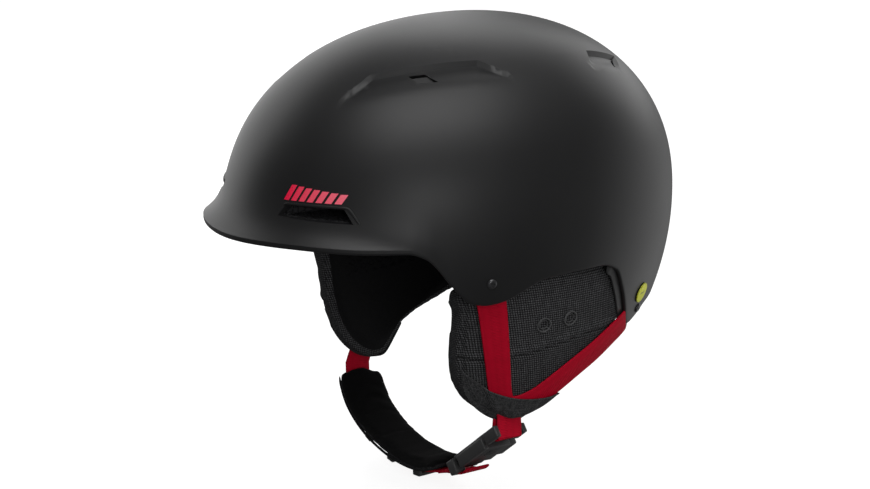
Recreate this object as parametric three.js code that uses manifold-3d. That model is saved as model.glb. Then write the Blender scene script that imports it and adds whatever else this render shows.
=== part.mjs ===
// Ski helmet with soft ear pads, chin strap, rear fit cradle and goggle clip.
// Millimetres, +Z up. The wearer faces -Y and the wearer's left side is +X.
// The origin is the centre of the head cavity, level with the widest part of the dome.
import * as THREE from 'three';
import { mergeVertices } from 'three/addons/utils/BufferGeometryUtils.js';
import Module from 'manifold-3d';

const wasm = await Module();
wasm.setup();

// Dome
const HALF_WIDTH = 108.5;
const FRONT = 151.5;
const REAR = 125;
const CROWN = 106.5;
const PLAN_POWER = 2.03;
const DOME_POWER = 2.21;
const TAPER = 0.296;
const BRIM_FLARE = 12.5;
const COLUMNS = 48;
// Rows of the dome as degrees above its widest level, then equal steps down to the rim
const DOME_ROWS = [90, 76, 62, 49, 37, 26, 16, 7, 0];
const SKIRT_ROWS = 3;

// Depth of each layer below the outer skin
const SHELL_THICK = 2.4;
const FOAM_OUTER = 3.8;
const FOAM_INNER = 24;
const SLIP_OUTER = 24.6;
const SLIP_INNER = 25.4;
const COMFORT_OUTER = 25.9;
const COMFORT_INNER = 31;

// Lower edge of the outer shell: degrees round from the front, height
const SHELL_RIM = [
  [0, -4.5], [18, -3.5], [32, -5], [41, -5], [44, -8.5], [51, -26], [55, -36], [65, -36], [71, -33],
  [78, -25], [100, -24], [105, -28.5], [110, -41], [116, -57], [123, -69], [127, -67], [132, -61],
  [150, -58], [180, -57],
];
// Lower edge of the foam, which stays above the ear pads at the sides
const FOAM_RIM = [
  [0, -2], [41, -2.5], [50, -20], [117, -20], [126, -59], [133, -57], [150, -54.5], [180, -53.5],
];
const SLIP_RIM = [[0, 0], [180, 0]];

// Ear pads: their outer face is a steeper wall of its own, and outlines on it are [y, z]
const PAD_HALF_WIDTH = 103.5;
const PAD_FRONT = 112;
const PAD_REAR = 122;
const PAD_TAPER = 0.2;
const PAD_DEPTH = 1.8;
const PAD_THICK = 16;
const PAD_OUTLINE = [
  [-67, -29], [-66, -52], [-63, -73], [-60, -86], [-54, -97], [-46, -105], [-36, -110.5], [-25, -113.5],
  [-16, -111], [1, -99], [20, -91], [36, -84], [49, -74], [48, -58], [41, -42], [33, -27], [-20, -24],
];
const SLEEVE_OUTLINE = [
  [-57, -81], [-42, -91.5], [-16, -101], [0, -100.5], [-8, -106], [-17, -112], [-25, -114], [-36, -111],
  [-47, -104.5],
];
const SLEEVE_DEPTH = -3.6;
const SLEEVE_THICK = 1.6;
const PAD_RINGS = [[-16.5, -55.5], [1, -54]];

// Webbing
const WEB_WIDTH = 17;
const WEB_THICK = 1.6;
const WEB_DEPTH = 0.1;
const FRONT_STRAP = [[-51, -29], [-48.5, -39], [-43, -65], [-36, -92.5], [-31, -104], [-27, -109]];
const REAR_STRAP = [[43, -67.5], [35, -70], [23, -77], [9.5, -84.5], [-2.5, -92.5], [-8.5, -98]];

// Chin strap: the webbing's centre line from the buckle to the right ear pad
const CHIN_LINE = [
  [37, -32.5, -154.5], [14, -35, -160.5], [-14, -36, -160], [-42, -35, -154.5], [-63, -34, -144],
  [-74, -33, -131], [-78, -31.5, -120],
];
const PIVOT_GAP = 1;
const CHIN_PAD_WIDTH = 30;
const CHIN_PAD_THICK = 7;
const BUCKLE_TOP = [74, -26, -123];
const BUCKLE_BOTTOM = [39, -32, -153];
const BUCKLE_WIDTH = 24;

// Rear fit system
const DIAL_HEIGHT = -84;
const DIAL_RADIUS = 14;
const CRADLE_BACK = 91;
const PIVOT_HEIGHT = -24;

// Goggle clip on the back of the shell
const CLIP_TOP = -14;
const CLIP_WIDTH = 22;
const CLIP_LENGTH = 36;

const finishes = {
  shell: [0x17181a, 0.55, 0],
  foam: [0x2b2c2e, 0.9, 0],
  slip: [0x2b2c2e, 0.5, 0],
  lining: [0x111113, 0.95, 0],
  padCloth: [0x3a3b3f, 0.95, 0],
  webbing: [0x9d1f2e, 0.85, 0],
  plastic: [0x2a2b2d, 0.5, 0],
  steel: [0x8d9094, 0.35, 0.9],
  label: [0xb9c832, 0.6, 0],
  rubber: [0x1b1b1c, 0.8, 0],
};
const materials = Object.fromEntries(
  Object.entries(finishes).map(([name, [color, roughness, metalness]]) =>
    [name, new THREE.MeshStandardMaterial({ name, color, roughness, metalness })]),
);

const helmet = new THREE.Group();
const vec = (x, y, z) => new THREE.Vector3(x, y, z);
const rad = THREE.MathUtils.degToRad;
const mix = THREE.MathUtils.lerp;

// ---------- solids ----------

// Closed geometry to a solid that can be cut and joined
function solid(geometry) {
  const bare = geometry.clone();
  for (const name of Object.keys(bare.attributes)) if (name !== 'position') bare.deleteAttribute(name);
  const merged = mergeVertices(bare, 1e-4);
  const index = merged.index.array;
  const triVerts = [];
  for (let i = 0; i < index.length; i += 3) {
    const [a, b, c] = [index[i], index[i + 1], index[i + 2]];
    if (a !== b && b !== c && c !== a) triVerts.push(a, b, c);
  }
  const vertProperties = Float32Array.from(merged.attributes.position.array);
  const body = (verts) => new wasm.Manifold(
    new wasm.Mesh({ numProp: 3, vertProperties, triVerts: Uint32Array.from(verts) }));
  const drawn = body(triVerts);
  return drawn.volume() > 0 ? drawn : body(triVerts.reverse());
}

function geometryOf(body) {
  const mesh = body.getMesh();
  const geometry = new THREE.BufferGeometry();
  geometry.setAttribute('position', new THREE.BufferAttribute(mesh.vertProperties, 3));
  geometry.setIndex(new THREE.BufferAttribute(mesh.triVerts, 1));
  geometry.computeVertexNormals();
  return geometry;
}

function add(name, material, body) {
  const mesh = new THREE.Mesh(geometryOf(body), materials[material]);
  mesh.name = name;
  helmet.add(mesh);
}

const joined = (bodies) => bodies.reduce((sum, body) => sum.add(body));
const without = (body, cutters) => cutters.reduce((rest, cutter) => rest.subtract(cutter), body);

function box(width, depth, height, x, y, z) {
  return solid(new THREE.BoxGeometry(width, depth, height).translate(x, y, z));
}

// Moves a geometry made along +Y so that +Y points along a direction
function aimed(geometry, at, direction) {
  const turn = new THREE.Quaternion().setFromUnitVectors(vec(0, 1, 0), direction.clone().normalize());
  return geometry.applyQuaternion(turn).translate(at.x, at.y, at.z);
}

function rod(radius, length, at, direction, sides = 16) {
  return solid(aimed(new THREE.CylinderGeometry(radius, radius, length, sides), at, direction));
}

// A lathe whose profile row and turn (0 to 1) are placed by a function
function wrapped(rows, columns, place) {
  const profile = Array.from({ length: rows }, (_, row) => new THREE.Vector2(1, row));
  const lathe = new THREE.LatheGeometry(profile, columns);
  const position = lathe.attributes.position;
  for (let i = 0; i < position.count; i++) {
    const point = place(i % rows, (Math.floor(i / rows) % columns) / columns);
    position.setXYZ(i, point.x, point.y, point.z);
  }
  return solid(lathe);
}

// ---------- the dome's surface ----------

// Height of an edge given as [degrees, height] stations, the same on both sides
function edgeHeight(stations, turnDegrees) {
  const angle = turnDegrees > 180 ? 360 - turnDegrees : turnDegrees;
  const next = stations.findIndex(([at]) => at >= angle);
  if (next <= 0) return stations[0][1];
  const [[a, low], [b, high]] = [stations[next - 1], stations[next]];
  return mix(low, high, (angle - a) / (b - a));
}

// Share of the full plan size at a height
const bulge = (z, crown) => (z > 0
  ? Math.max(1 - (z / crown) ** DOME_POWER, 0) ** (1 / DOME_POWER)
  : 1 - TAPER * (z / CROWN) ** 2);

// Point on the dome, a depth below the skin, at degrees round from the front
function domePoint(turnDegrees, z, depth, flare = 0) {
  const angle = rad(turnDegrees);
  const [s, c] = [Math.sin(angle), Math.cos(angle)];
  const ahead = (c > 0 ? FRONT : REAR) - depth;
  const power = (Math.abs(s) / (HALF_WIDTH - depth)) ** PLAN_POWER + (Math.abs(c) / ahead) ** PLAN_POWER;
  const radius = power ** (-1 / PLAN_POWER) * bulge(z, CROWN - depth) + flare;
  return vec(radius * s, -radius * c, z);
}

// Outward flare of the brim, strongest at its edge and gone at the temples
function brimFlare(turnDegrees, z) {
  const angle = Math.min(turnDegrees, 360 - turnDegrees);
  const fade = 1 - THREE.MathUtils.smoothstep(angle, 15, 60);
  const above = Math.max(z - edgeHeight(SHELL_RIM, turnDegrees) - 3, 0);
  return BRIM_FLARE * fade * Math.exp(-above / 8);
}

// Height of a row; every layer has the same rows, so that their walls stay parallel
function rowHeight(row, rim, depth) {
  const below = row - (DOME_ROWS.length - 1);
  if (below > 0) return mix(Math.max(rim, 0), rim, below / SKIRT_ROWS);
  return Math.max(rim, (CROWN - depth) * Math.sin(rad(DOME_ROWS[row])) ** (2 / DOME_POWER));
}

// A closed wall between two depths, from the crown down to an edge
function layer(outer, inner, rimStations, outerFlare, innerFlare) {
  const half = DOME_ROWS.length + SKIRT_ROWS;
  return wrapped(2 * half, COLUMNS, (row, turn) => {
    const outside = row < half;
    const depth = outside ? outer : inner;
    const degrees = turn * 360;
    const z = rowHeight(outside ? row : 2 * half - 1 - row, edgeHeight(rimStations, degrees), depth);
    const flared = row % (2 * half - 1) > 0 && (outside ? outerFlare : innerFlare);
    return domePoint(degrees, z, depth, flared ? brimFlare(degrees, z) : 0);
  });
}

// A closed pad on the wall, between two heights, angles and depths
function wallPad(from, to, low, high, outer, inner, columns) {
  const pad = new THREE.BoxGeometry(1, 1, 1, columns, 1, 2);
  const position = pad.attributes.position;
  for (let i = 0; i < position.count; i++) {
    const turn = mix(from, to, position.getX(i) + 0.5);
    const depth = mix(outer, inner, position.getY(i) + 0.5);
    const point = domePoint((turn + 360) % 360, mix(low, high, position.getZ(i) + 0.5), depth);
    position.setXYZ(i, point.x, point.y, point.z);
  }
  return solid(pad);
}

// Point on an ear pad's wall from its y and z
function sidePoint(side, y, z, depth) {
  const share = 1 - PAD_TAPER * (z / CROWN) ** 2;
  const ahead = ((y < 0 ? PAD_FRONT : PAD_REAR) - depth) * share;
  const x = (PAD_HALF_WIDTH - depth) * share * (1 - (Math.abs(y) / ahead) ** PLAN_POWER) ** (1 / PLAN_POWER);
  return vec(side * x, y, z);
}

// Outward direction of a side wall
function sideNormal(side, y, z, depth) {
  const step = 1;
  const here = sidePoint(side, y, z, depth);
  const alongY = sidePoint(side, y + step, z, depth).sub(here);
  const alongZ = sidePoint(side, y, z + step, depth).sub(here);
  return alongY.cross(alongZ).multiplyScalar(side).normalize();
}

// A strip of webbing through stations that give a point, a width direction and an outward one
function ribbon(stations, width, thick) {
  const strip = new THREE.BoxGeometry(1, 1, 1, 1, 1, stations.length - 1);
  const position = strip.attributes.position;
  for (let i = 0; i < position.count; i++) {
    const { at, across, out } = stations[Math.round((position.getZ(i) + 0.5) * (stations.length - 1))];
    const point = at.clone().addScaledVector(across, position.getX(i) * width)
      .addScaledVector(out, position.getY(i) * thick);
    position.setXYZ(i, point.x, point.y, point.z);
  }
  return solid(strip);
}

// Stations of a ribbon laid on a side wall along [y, z] points
function wallStations(side, line, depth, count) {
  const curve = new THREE.CatmullRomCurve3(line.map(([y, z]) => vec(0, y, z)));
  return Array.from({ length: count }, (_, i) => {
    const { y, z } = curve.getPointAt(i / (count - 1));
    const way = curve.getTangentAt(i / (count - 1));
    const at = sidePoint(side, y, z, depth);
    const out = sideNormal(side, y, z, depth);
    const ahead = sidePoint(side, y + way.y, z + way.z, depth).sub(at);
    return { at, out, across: out.clone().cross(ahead).normalize() };
  });
}

// A thick rounded pad on a side wall inside a closed [y, z] outline
function pillow(side, outline, depth, thick, columns) {
  const curve = new THREE.CatmullRomCurve3(outline.map(([y, z]) => vec(0, y, z)), true, 'centripetal');
  const edge = curve.getSpacedPoints(columns);
  const centre = edge.slice(0, columns).reduce((sum, point) => sum.add(point), vec(0, 0, 0));
  centre.divideScalar(columns);
  const rings = [0, 0.45, 0.8, 0.95, 1];
  const rows = 2 * rings.length - 1;
  return wrapped(rows, columns, (row, turn) => {
    const spread = rings[Math.min(row, rows - 1 - row)];
    const point = centre.clone().lerp(edge[Math.round(turn * columns)], spread);
    const half = thick / 2 * Math.sqrt(1 - spread ** 6);
    const face = row < rings.length ? -half : half;
    return sidePoint(side, point.y, point.z, depth + thick / 2 + face * side);
  });
}

// ---------- vents and fasteners that cut through the layers ----------

// Trapezoid tunnel along Y behind each brow vent
function browVentCutter(side) {
  const shape = new THREE.Shape();
  shape.moveTo(side * 31, 11.5).lineTo(side * 69, 11.5).lineTo(side * 65, 18).lineTo(side * 35, 18);
  shape.closePath();
  const tunnel = new THREE.ExtrudeGeometry(shape, { depth: 90, bevelEnabled: false });
  return solid(tunnel.rotateX(Math.PI / 2).translate(0, -70, 0));
}

// Port through the crown behind a long roof vent
const roofPort = (side, x, y) => box(13, 16, 100, side * x, y, 66);

const RIVETS = [
  { name: 'front_rivet', turn: 61.2, z: -25 },
  { name: 'rear_rivet', turn: 126, z: -60.5 },
];
const ANCHORS = [30, 140, 220, 330];
const ANCHOR_HEIGHT = 34;

// Outward direction of the dome
function wallAxis(degrees, z) {
  const here = domePoint(degrees, z, 0);
  const round = domePoint(degrees + 1, z, 0).sub(here);
  const up = domePoint(degrees, z + 1, 0).sub(here);
  return round.cross(up).normalize();
}

function spot(degrees, z, depth) {
  return domePoint(degrees, z, 0).addScaledVector(wallAxis(degrees, z), -depth);
}

const sides = [{ side: 1, word: 'left' }, { side: -1, word: 'right' }];
const turnOn = (side, turn) => (side > 0 ? turn : 360 - turn);

function rivetHoles() {
  return sides.flatMap(({ side }) => RIVETS.map(({ turn, z }) => {
    const degrees = turnOn(side, turn);
    return rod(2, 24, spot(degrees, z, 4), wallAxis(degrees, z), 12);
  }));
}

function ventCutters() {
  return sides.flatMap(({ side }) => [browVentCutter(side), roofPort(side, 55, -69), roofPort(side, 59, 54)]);
}

const anchorCutters = () => ANCHORS.map((turn) =>
  rod(4.3, 7, spot(turn, ANCHOR_HEIGHT, 23.6), wallAxis(turn, ANCHOR_HEIGHT), 12));

// ---------- sub-parts ----------

function addShellAndLiners() {
  const vents = ventCutters();
  const holes = rivetHoles();
  const anchors = anchorCutters();
  add('outer_shell', 'shell', without(layer(0, SHELL_THICK, SHELL_RIM, true, true), [...vents, ...holes]));
  add('eps_liner', 'foam', without(layer(FOAM_OUTER, FOAM_INNER, FOAM_RIM, true, false),
    [...vents, ...holes, ...anchors]));
  add('slip_liner', 'slip',
    without(layer(SLIP_OUTER, SLIP_INNER, SLIP_RIM, false, false), [...vents, ...anchors]));
}

function addSlipAnchors() {
  ANCHORS.forEach((turn, i) => {
    const at = spot(turn, ANCHOR_HEIGHT, 23.2);
    add(`slip_anchor_${i + 1}`, 'rubber', rod(4, 5, at, wallAxis(turn, ANCHOR_HEIGHT), 12));
  });
}

function addComfortPads() {
  add('brow_pad', 'lining', wallPad(-55, 55, 1, 10, COMFORT_OUTER, COMFORT_INNER, 14));
  add('side_pad_left', 'lining', wallPad(68, 112, 2, 32, COMFORT_OUTER, COMFORT_INNER, 6));
  add('side_pad_right', 'lining', wallPad(248, 292, 2, 32, COMFORT_OUTER, COMFORT_INNER, 6));
  const cap = (depth) => CROWN - depth - 13;
  add('crown_pad', 'lining', wrapped(8, 24, (row, turn) => {
    const outside = row < 4;
    const share = (outside ? row : 7 - row) / 3;
    const depth = outside ? COMFORT_OUTER + 0.6 : COMFORT_INNER;
    const z = mix(CROWN - depth, cap(depth), share * share);
    return domePoint(turn * 360, z, depth);
  }));
}

function addRivets() {
  for (const { side, word } of sides) {
    for (const { name, turn, z } of RIVETS) {
      const degrees = turnOn(side, turn);
      const profile = [[0, -3.4], [1.6, -3.4], [1.6, 0.4], [3.2, 0.4], [3, 1], [1.8, 1.5], [0, 1.6]];
      const turned = new THREE.LatheGeometry(profile.map(([r, h]) => new THREE.Vector2(r, h)), 16);
      add(`${name}_${word}`, 'steel', solid(aimed(turned, spot(degrees, z, 0), wallAxis(degrees, z))));
    }
  }
}

function addEarPads() {
  for (const { side, word } of sides) {
    add(`ear_pad_${word}`, 'padCloth', pillow(side, PAD_OUTLINE, PAD_DEPTH, PAD_THICK, 30));
    add(`strap_sleeve_${word}`, 'padCloth', pillow(side, SLEEVE_OUTLINE, SLEEVE_DEPTH, SLEEVE_THICK, 16));
    PAD_RINGS.forEach(([y, z], i) => {
      const profile = [[2.6, -0.8], [4.4, -0.8], [4.4, 0.8], [2.6, 0.8], [2.6, -0.8]];
      const ring = new THREE.LatheGeometry(profile.map(([r, h]) => new THREE.Vector2(r, h)), 16);
      const at = sidePoint(side, y, z, PAD_DEPTH - 1.3);
      const placed = aimed(ring, at, sideNormal(side, y, z, PAD_DEPTH));
      add(`pad_eyelet_${word}_${i + 1}`, 'plastic', solid(placed));
    });
  }
}

function addSideStraps() {
  for (const { side, word } of sides) {
    const front = wallStations(side, FRONT_STRAP, WEB_DEPTH, 9);
    const rear = wallStations(side, REAR_STRAP, WEB_DEPTH, 7);
    add(`front_strap_${word}`, 'webbing', ribbon(front, WEB_WIDTH, WEB_THICK));
    add(`rear_strap_${word}`, 'webbing', ribbon(rear, WEB_WIDTH - 3, WEB_THICK));
  }
}

// Stations along the chin strap, a distance outward from its centre line
function chinStations(from, to, offset, count) {
  const curve = new THREE.CatmullRomCurve3(CHIN_LINE.map(([x, y, z]) => vec(x, y, z)));
  return Array.from({ length: count }, (_, i) => {
    const u = mix(from, to, i / (count - 1));
    const way = curve.getTangentAt(u);
    const across = vec(0, 1, 0).addScaledVector(way, -way.y).normalize();
    const out = way.clone().cross(across).normalize();
    return { at: curve.getPointAt(u).addScaledVector(out, offset), across, out };
  });
}

// A staple over the webbing: a bar outside it with a leg past each edge
function keeper(u) {
  const [{ at, across, out }] = chinStations(u, u, 0, 2);
  const along = across.clone().cross(out);
  const basis = new THREE.Matrix4().makeBasis(across, out, along).setPosition(at);
  const bar = new THREE.BoxGeometry(WEB_WIDTH + 5, 3.4, 6).translate(0, 1, 0).applyMatrix4(basis);
  const gap = new THREE.BoxGeometry(WEB_WIDTH + 1, 4, 8).translate(0, -0.7, 0).applyMatrix4(basis);
  return solid(bar).subtract(solid(gap));
}

function addChinStrap() {
  add('chin_strap', 'webbing', ribbon(chinStations(0, 1, 0, 18), WEB_WIDTH, WEB_THICK));
  const inward = -(WEB_THICK / 2 + 0.4 + CHIN_PAD_THICK / 2);
  add('chin_pad', 'padCloth', ribbon(chinStations(0.06, 0.97, inward, 16), CHIN_PAD_WIDTH, CHIN_PAD_THICK));
  const tail = chinStations(0.66, 0.86, WEB_THICK + 0.4, 6);
  add('strap_tail', 'webbing', ribbon(tail, WEB_WIDTH - 2, WEB_THICK));
  [0.2, 0.4, 0.6].forEach((u, i) => add(`strap_keeper_${i + 1}`, 'plastic', keeper(u)));
}

// The two short straps between the tips of the ear pads and the chin strap's ends
function addLowerStraps() {
  const [{ at: chinEnd }] = chinStations(1, 1, 0, 2);
  const chinWay = chinEnd.clone().sub(chinStations(0.97, 0.97, 0, 2)[0].at).normalize();
  const buckleWay = vec(...BUCKLE_TOP).sub(vec(...BUCKLE_BOTTOM)).normalize();
  const ends = [
    { word: 'left', at: vec(...BUCKLE_TOP), way: buckleWay, length: 5 },
    { word: 'right', at: chinEnd, way: chinWay, length: 7 },
  ];
  for (const { word, at, way, length } of ends) {
    const across = vec(0, 1, 0).addScaledVector(way, -way.y).normalize();
    const out = way.clone().cross(across).normalize();
    const strip = [2 * PIVOT_GAP, length].map((reach) =>
      ({ at: at.clone().addScaledVector(way, reach), across, out }));
    add(`lower_strap_${word}`, 'webbing', ribbon(strip, WEB_WIDTH, WEB_THICK));
  }
}

// Magnetic buckle: a base on the left strap under a cover on the chin strap
function addBuckle() {
  const top = vec(...BUCKLE_TOP);
  const bottom = vec(...BUCKLE_BOTTOM);
  const along = bottom.clone().sub(top);
  const length = along.length();
  along.normalize();
  const across = vec(0, 1, 0).addScaledVector(along, -along.y).normalize();
  const out = across.clone().cross(along).normalize();
  if (out.z > 0) out.negate();
  const basis = new THREE.Matrix4().makeBasis(across, out, across.clone().cross(out)).setPosition(top);
  const way = Math.sign(across.clone().cross(out).dot(along));
  const block = (width, thick, from, to, offset) => solid(new THREE.BoxGeometry(width, thick, to - from)
    .translate(0, offset, way * (from + to) / 2).applyMatrix4(basis));
  const disc = (radius, thick, at, offset) => solid(new THREE.CylinderGeometry(radius, radius, thick, 20)
    .translate(0, offset, way * at).applyMatrix4(basis));
  const middle = length * 0.55;
  const base = joined([block(BUCKLE_WIDTH, 4, 1, length * 0.78, -2.2), block(BUCKLE_WIDTH, 3, 1, 7, 1)])
    .subtract(disc(6.4, 2.6, middle, -1.2));
  const cover = joined([
    block(BUCKLE_WIDTH - 3, 5, length * 0.24, length - 2, 2.8),
    block(BUCKLE_WIDTH - 3, 8.6, length * 0.82, length - 2, 1),
  ]).subtract(disc(6.4, 2.4, middle, 1.2));
  add('buckle_base', 'plastic', base);
  add('buckle_cover', 'plastic', cover);
  add('buckle_magnet_base', 'steel', disc(6, 1.8, middle, -1.3));
  add('buckle_magnet_cover', 'steel', disc(6, 1.6, middle, 1.2));
}

// Rear fit system: cradle, dial, two racks and the strap it hangs on
function addFitSystem() {
  const z = DIAL_HEIGHT;
  const back = CRADLE_BACK;
  const hanger = joined([box(20, 4, 44, 0, back - 3, z + 34), box(26, 5, 7, 0, back - 3, PIVOT_HEIGHT - 1)])
    .subtract(rod(1.8, 40, vec(0, back - 3, PIVOT_HEIGHT), vec(1, 0, 0)));
  const channel = box(80, 3.4, 15, 0, back - 5.2, z);
  const housing = box(56, 6, 30, 0, back - 4, z).subtract(channel)
    .subtract(rod(2.6, 20, vec(0, back, z), vec(0, 1, 0)));
  add('fit_hanger', 'plastic', hanger.subtract(box(60, 12, 32, 0, back - 4, z)));
  add('fit_cradle', 'plastic', housing);
  add('cradle_cover', 'plastic', box(56, 1.6, 30, 0, back - 8.2, z));
  add('nape_pad', 'lining', wallPad(161, 199, z - 15, z + 13, 35, 40, 6)
    .subtract(box(80, 10, 80, 0, back - 4, z)));
  add('fit_dial', 'rubber', dial(back, z));
  for (const { side, word } of sides) add(`fit_arm_${word}`, 'plastic', arm(side, z));
  const ear = (x) => box(3, 10, 14, x, back - 3, PIVOT_HEIGHT + 1);
  const ears = joined([box(34, 6, 8, 0, back - 1, PIVOT_HEIGHT + 8), ear(15.2), ear(-15.2)]);
  add('hanger_bracket', 'plastic', ears.subtract(rod(1.9, 40, vec(0, back - 3, PIVOT_HEIGHT), vec(1, 0, 0))));
  add('hanger_pin', 'steel', rod(1.5, 36, vec(0, back - 3, PIVOT_HEIGHT), vec(1, 0, 0)));
}

// Knob with grip flutes and a shaft that ends in the pinion
function dial(back, z) {
  const ridges = 18;
  const knob = rod(DIAL_RADIUS, 8, vec(0, back + 3.6, z), vec(0, 1, 0), 36);
  const flutes = Array.from({ length: ridges }, (_, i) => {
    const angle = i / ridges * Math.PI * 2;
    const reach = DIAL_RADIUS + 0.5;
    const at = vec(reach * Math.cos(angle), back + 3.6, z + reach * Math.sin(angle));
    return rod(1.2, 12, at, vec(0, 1, 0), 6);
  });
  return without(knob, flutes).add(rod(2.2, 8, vec(0, back - 3, z), vec(0, 1, 0), 12));
}

// A rack in the cradle that becomes a wing hugging the back of the head
function arm(side, z) {
  const level = z + side * 4.9;
  const rack = [[-8, CRADLE_BACK - 5.2], [30, CRADLE_BACK - 5.2], [44, 84], [58, 73], [68, 60]];
  const curve = new THREE.CatmullRomCurve3(rack.map(([x, y]) => vec(side * x, y, level)));
  const stations = Array.from({ length: 14 }, (_, i) => {
    const way = curve.getTangentAt(i / 13);
    const up = vec(0, 0, 1);
    return { at: curve.getPointAt(i / 13), across: up, out: way.clone().cross(up).normalize() };
  });
  return ribbon(stations, 4, 1.6);
}

// Goggle clip on a base that follows the back of the shell
function addGoggleClip() {
  const wall = domePoint(180, -30, 0).y;
  const hinge = vec(0, wall + 6, CLIP_TOP);
  const low = -75;
  const clear = -0.4;
  const rows = DOME_ROWS.length + SKIRT_ROWS;
  const shellBack = wrapped(rows + 1, COLUMNS, (row, turn) => (row < rows
    ? domePoint(turn * 360, rowHeight(row, low, clear), clear)
    : vec(0, 0, low)));
  const ear = (side) => box(3, 14, 12, side * (CLIP_WIDTH / 2 + 2), wall + 3, CLIP_TOP);
  const base = joined([box(CLIP_WIDTH + 7, 6, 14, 0, wall, CLIP_TOP + 10), ear(1), ear(-1),
    box(CLIP_WIDTH + 7, 10, 4, 0, wall + 1, CLIP_TOP + 8)]);
  add('goggle_clip_base', 'plastic', base.subtract(shellBack)
    .subtract(rod(1.9, 60, hinge, vec(1, 0, 0))));
  const tongue = joined([
    box(CLIP_WIDTH - 0.6, 3, CLIP_LENGTH, 0, hinge.y + 1.5, CLIP_TOP - CLIP_LENGTH / 2),
    rod(3.2, CLIP_WIDTH - 0.6, hinge, vec(1, 0, 0)),
  ]);
  add('goggle_clip', 'plastic', tongue.subtract(rod(1.9, 60, hinge, vec(1, 0, 0))));
  add('goggle_clip_pin', 'steel', rod(1.5, CLIP_WIDTH + 6, hinge, vec(1, 0, 0)));
}

function addRoundLabel() {
  add('round_label', 'label', rod(6.5, 0.6, spot(124, -50, -0.9), wallAxis(124, -50), 24));
}

addShellAndLiners();
addSlipAnchors();
addComfortPads();
addRivets();
addEarPads();
addSideStraps();
addChinStrap();
addLowerStraps();
addBuckle();
addFitSystem();
addGoggleClip();
addRoundLabel();

export default helmet;
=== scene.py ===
"""Looks of a ski helmet round its CAD frame: moulded shell, soft pads, webbing, buckle and fit dial.

Sizes are in millimetres until a piece is finished. The wearer faces -Y and the wearer's left is +X.
"""

import math

import bmesh
import bpy
from mathutils import Matrix, Vector
from mathutils.bvhtree import BVHTree


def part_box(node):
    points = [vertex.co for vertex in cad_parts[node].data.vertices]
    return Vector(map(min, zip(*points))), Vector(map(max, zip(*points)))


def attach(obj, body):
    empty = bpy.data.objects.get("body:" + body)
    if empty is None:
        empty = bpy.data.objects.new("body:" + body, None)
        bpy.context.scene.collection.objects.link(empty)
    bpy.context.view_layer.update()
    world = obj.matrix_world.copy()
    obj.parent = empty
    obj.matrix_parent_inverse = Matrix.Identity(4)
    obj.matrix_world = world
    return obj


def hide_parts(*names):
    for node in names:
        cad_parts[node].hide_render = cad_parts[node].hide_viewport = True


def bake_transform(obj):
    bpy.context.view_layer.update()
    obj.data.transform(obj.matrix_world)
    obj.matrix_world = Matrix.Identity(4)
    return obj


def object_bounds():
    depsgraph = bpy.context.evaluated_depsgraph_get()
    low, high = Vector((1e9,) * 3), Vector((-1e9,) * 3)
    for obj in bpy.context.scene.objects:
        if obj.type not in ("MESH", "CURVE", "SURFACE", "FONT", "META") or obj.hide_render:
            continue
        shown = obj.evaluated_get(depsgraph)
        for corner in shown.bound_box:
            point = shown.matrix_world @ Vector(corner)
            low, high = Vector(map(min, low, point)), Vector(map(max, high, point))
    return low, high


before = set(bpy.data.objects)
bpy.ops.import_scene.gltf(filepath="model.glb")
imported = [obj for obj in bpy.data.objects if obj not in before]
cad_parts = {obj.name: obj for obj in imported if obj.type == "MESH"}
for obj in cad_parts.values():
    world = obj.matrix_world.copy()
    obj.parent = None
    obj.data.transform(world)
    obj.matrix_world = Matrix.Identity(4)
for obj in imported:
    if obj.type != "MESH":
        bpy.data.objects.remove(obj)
cad_low, cad_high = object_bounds()

MM = 0.001


def edges_of(node):
    """Lowest and highest corner of a CAD node in millimetres"""
    low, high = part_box(node)
    return low / MM, high / MM


# ---------- driving sizes ----------

SHELL_LOW, SHELL_HIGH = edges_of("outer_shell")
BRIM_FLARE = 12.5
HALF_WIDTH = SHELL_HIGH.x
FRONT = -SHELL_LOW.y - BRIM_FLARE
REAR = SHELL_HIGH.y
CROWN = SHELL_HIGH.z
PLAN_POWER = 2.03
DOME_POWER = 2.21
TAPER = 0.296

# Lower edge of the shell: degrees round from the front, height
SHELL_RIM = [
    (0, -4.5), (18, -3.5), (32, -5), (41, -5.5), (45, -9), (51, -26), (55.5, -36), (60, -38), (65, -36.5),
    (71, -31.5), (78, -26), (88, -24.5), (98, -24), (105, -28.5), (110, -41), (116, -57), (120, -66),
    (123, -69), (127, -66.5), (133, -61), (150, -58), (180, -57),
]
FOAM_RIM = [(0, -2.5), (41, -3), (50, -20), (117, -20), (126, -59), (133, -57), (150, -54.5), (180, -53.5)]
SHELL_THICK = 2.4
ROOF_THICK = 8
FOAM_OUTER = 3.8
FOAM_INNER = 24

# Ear pads: a steeper wall of their own, with outlines on it as (y, z)
PAD_HALF_WIDTH = 103.5
PAD_FRONT = 112
PAD_REAR = 122
PAD_TAPER = 0.2
PAD_DEPTH = 1.8
PAD_THICK = 16
PAD_OUTLINE = [
    (-61, -30), (-62.4, -50), (-61, -73), (-57.6, -87), (-51.4, -98.5), (-44, -106.5), (-35, -112.8),
    (-25, -115.8), (-15.5, -114), (1, -99.5), (20, -91), (36, -84), (49, -74), (48, -58), (41, -42),
    (33, -27), (-20, -24),
]
PAD_SEAM = [
    (-58, -73.4), (-48.5, -74.7), (-36, -74), (-22, -72.4), (-9.5, -70), (4, -67.8), (18.5, -66),
    (34, -65.4), (46, -64),
]
PAD_RINGS = [(-16.5, -55.5), (1, -54)]
RING_HOLE = 4.4
REAR_STRAP_HOLLOW = (50, -66)

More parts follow.
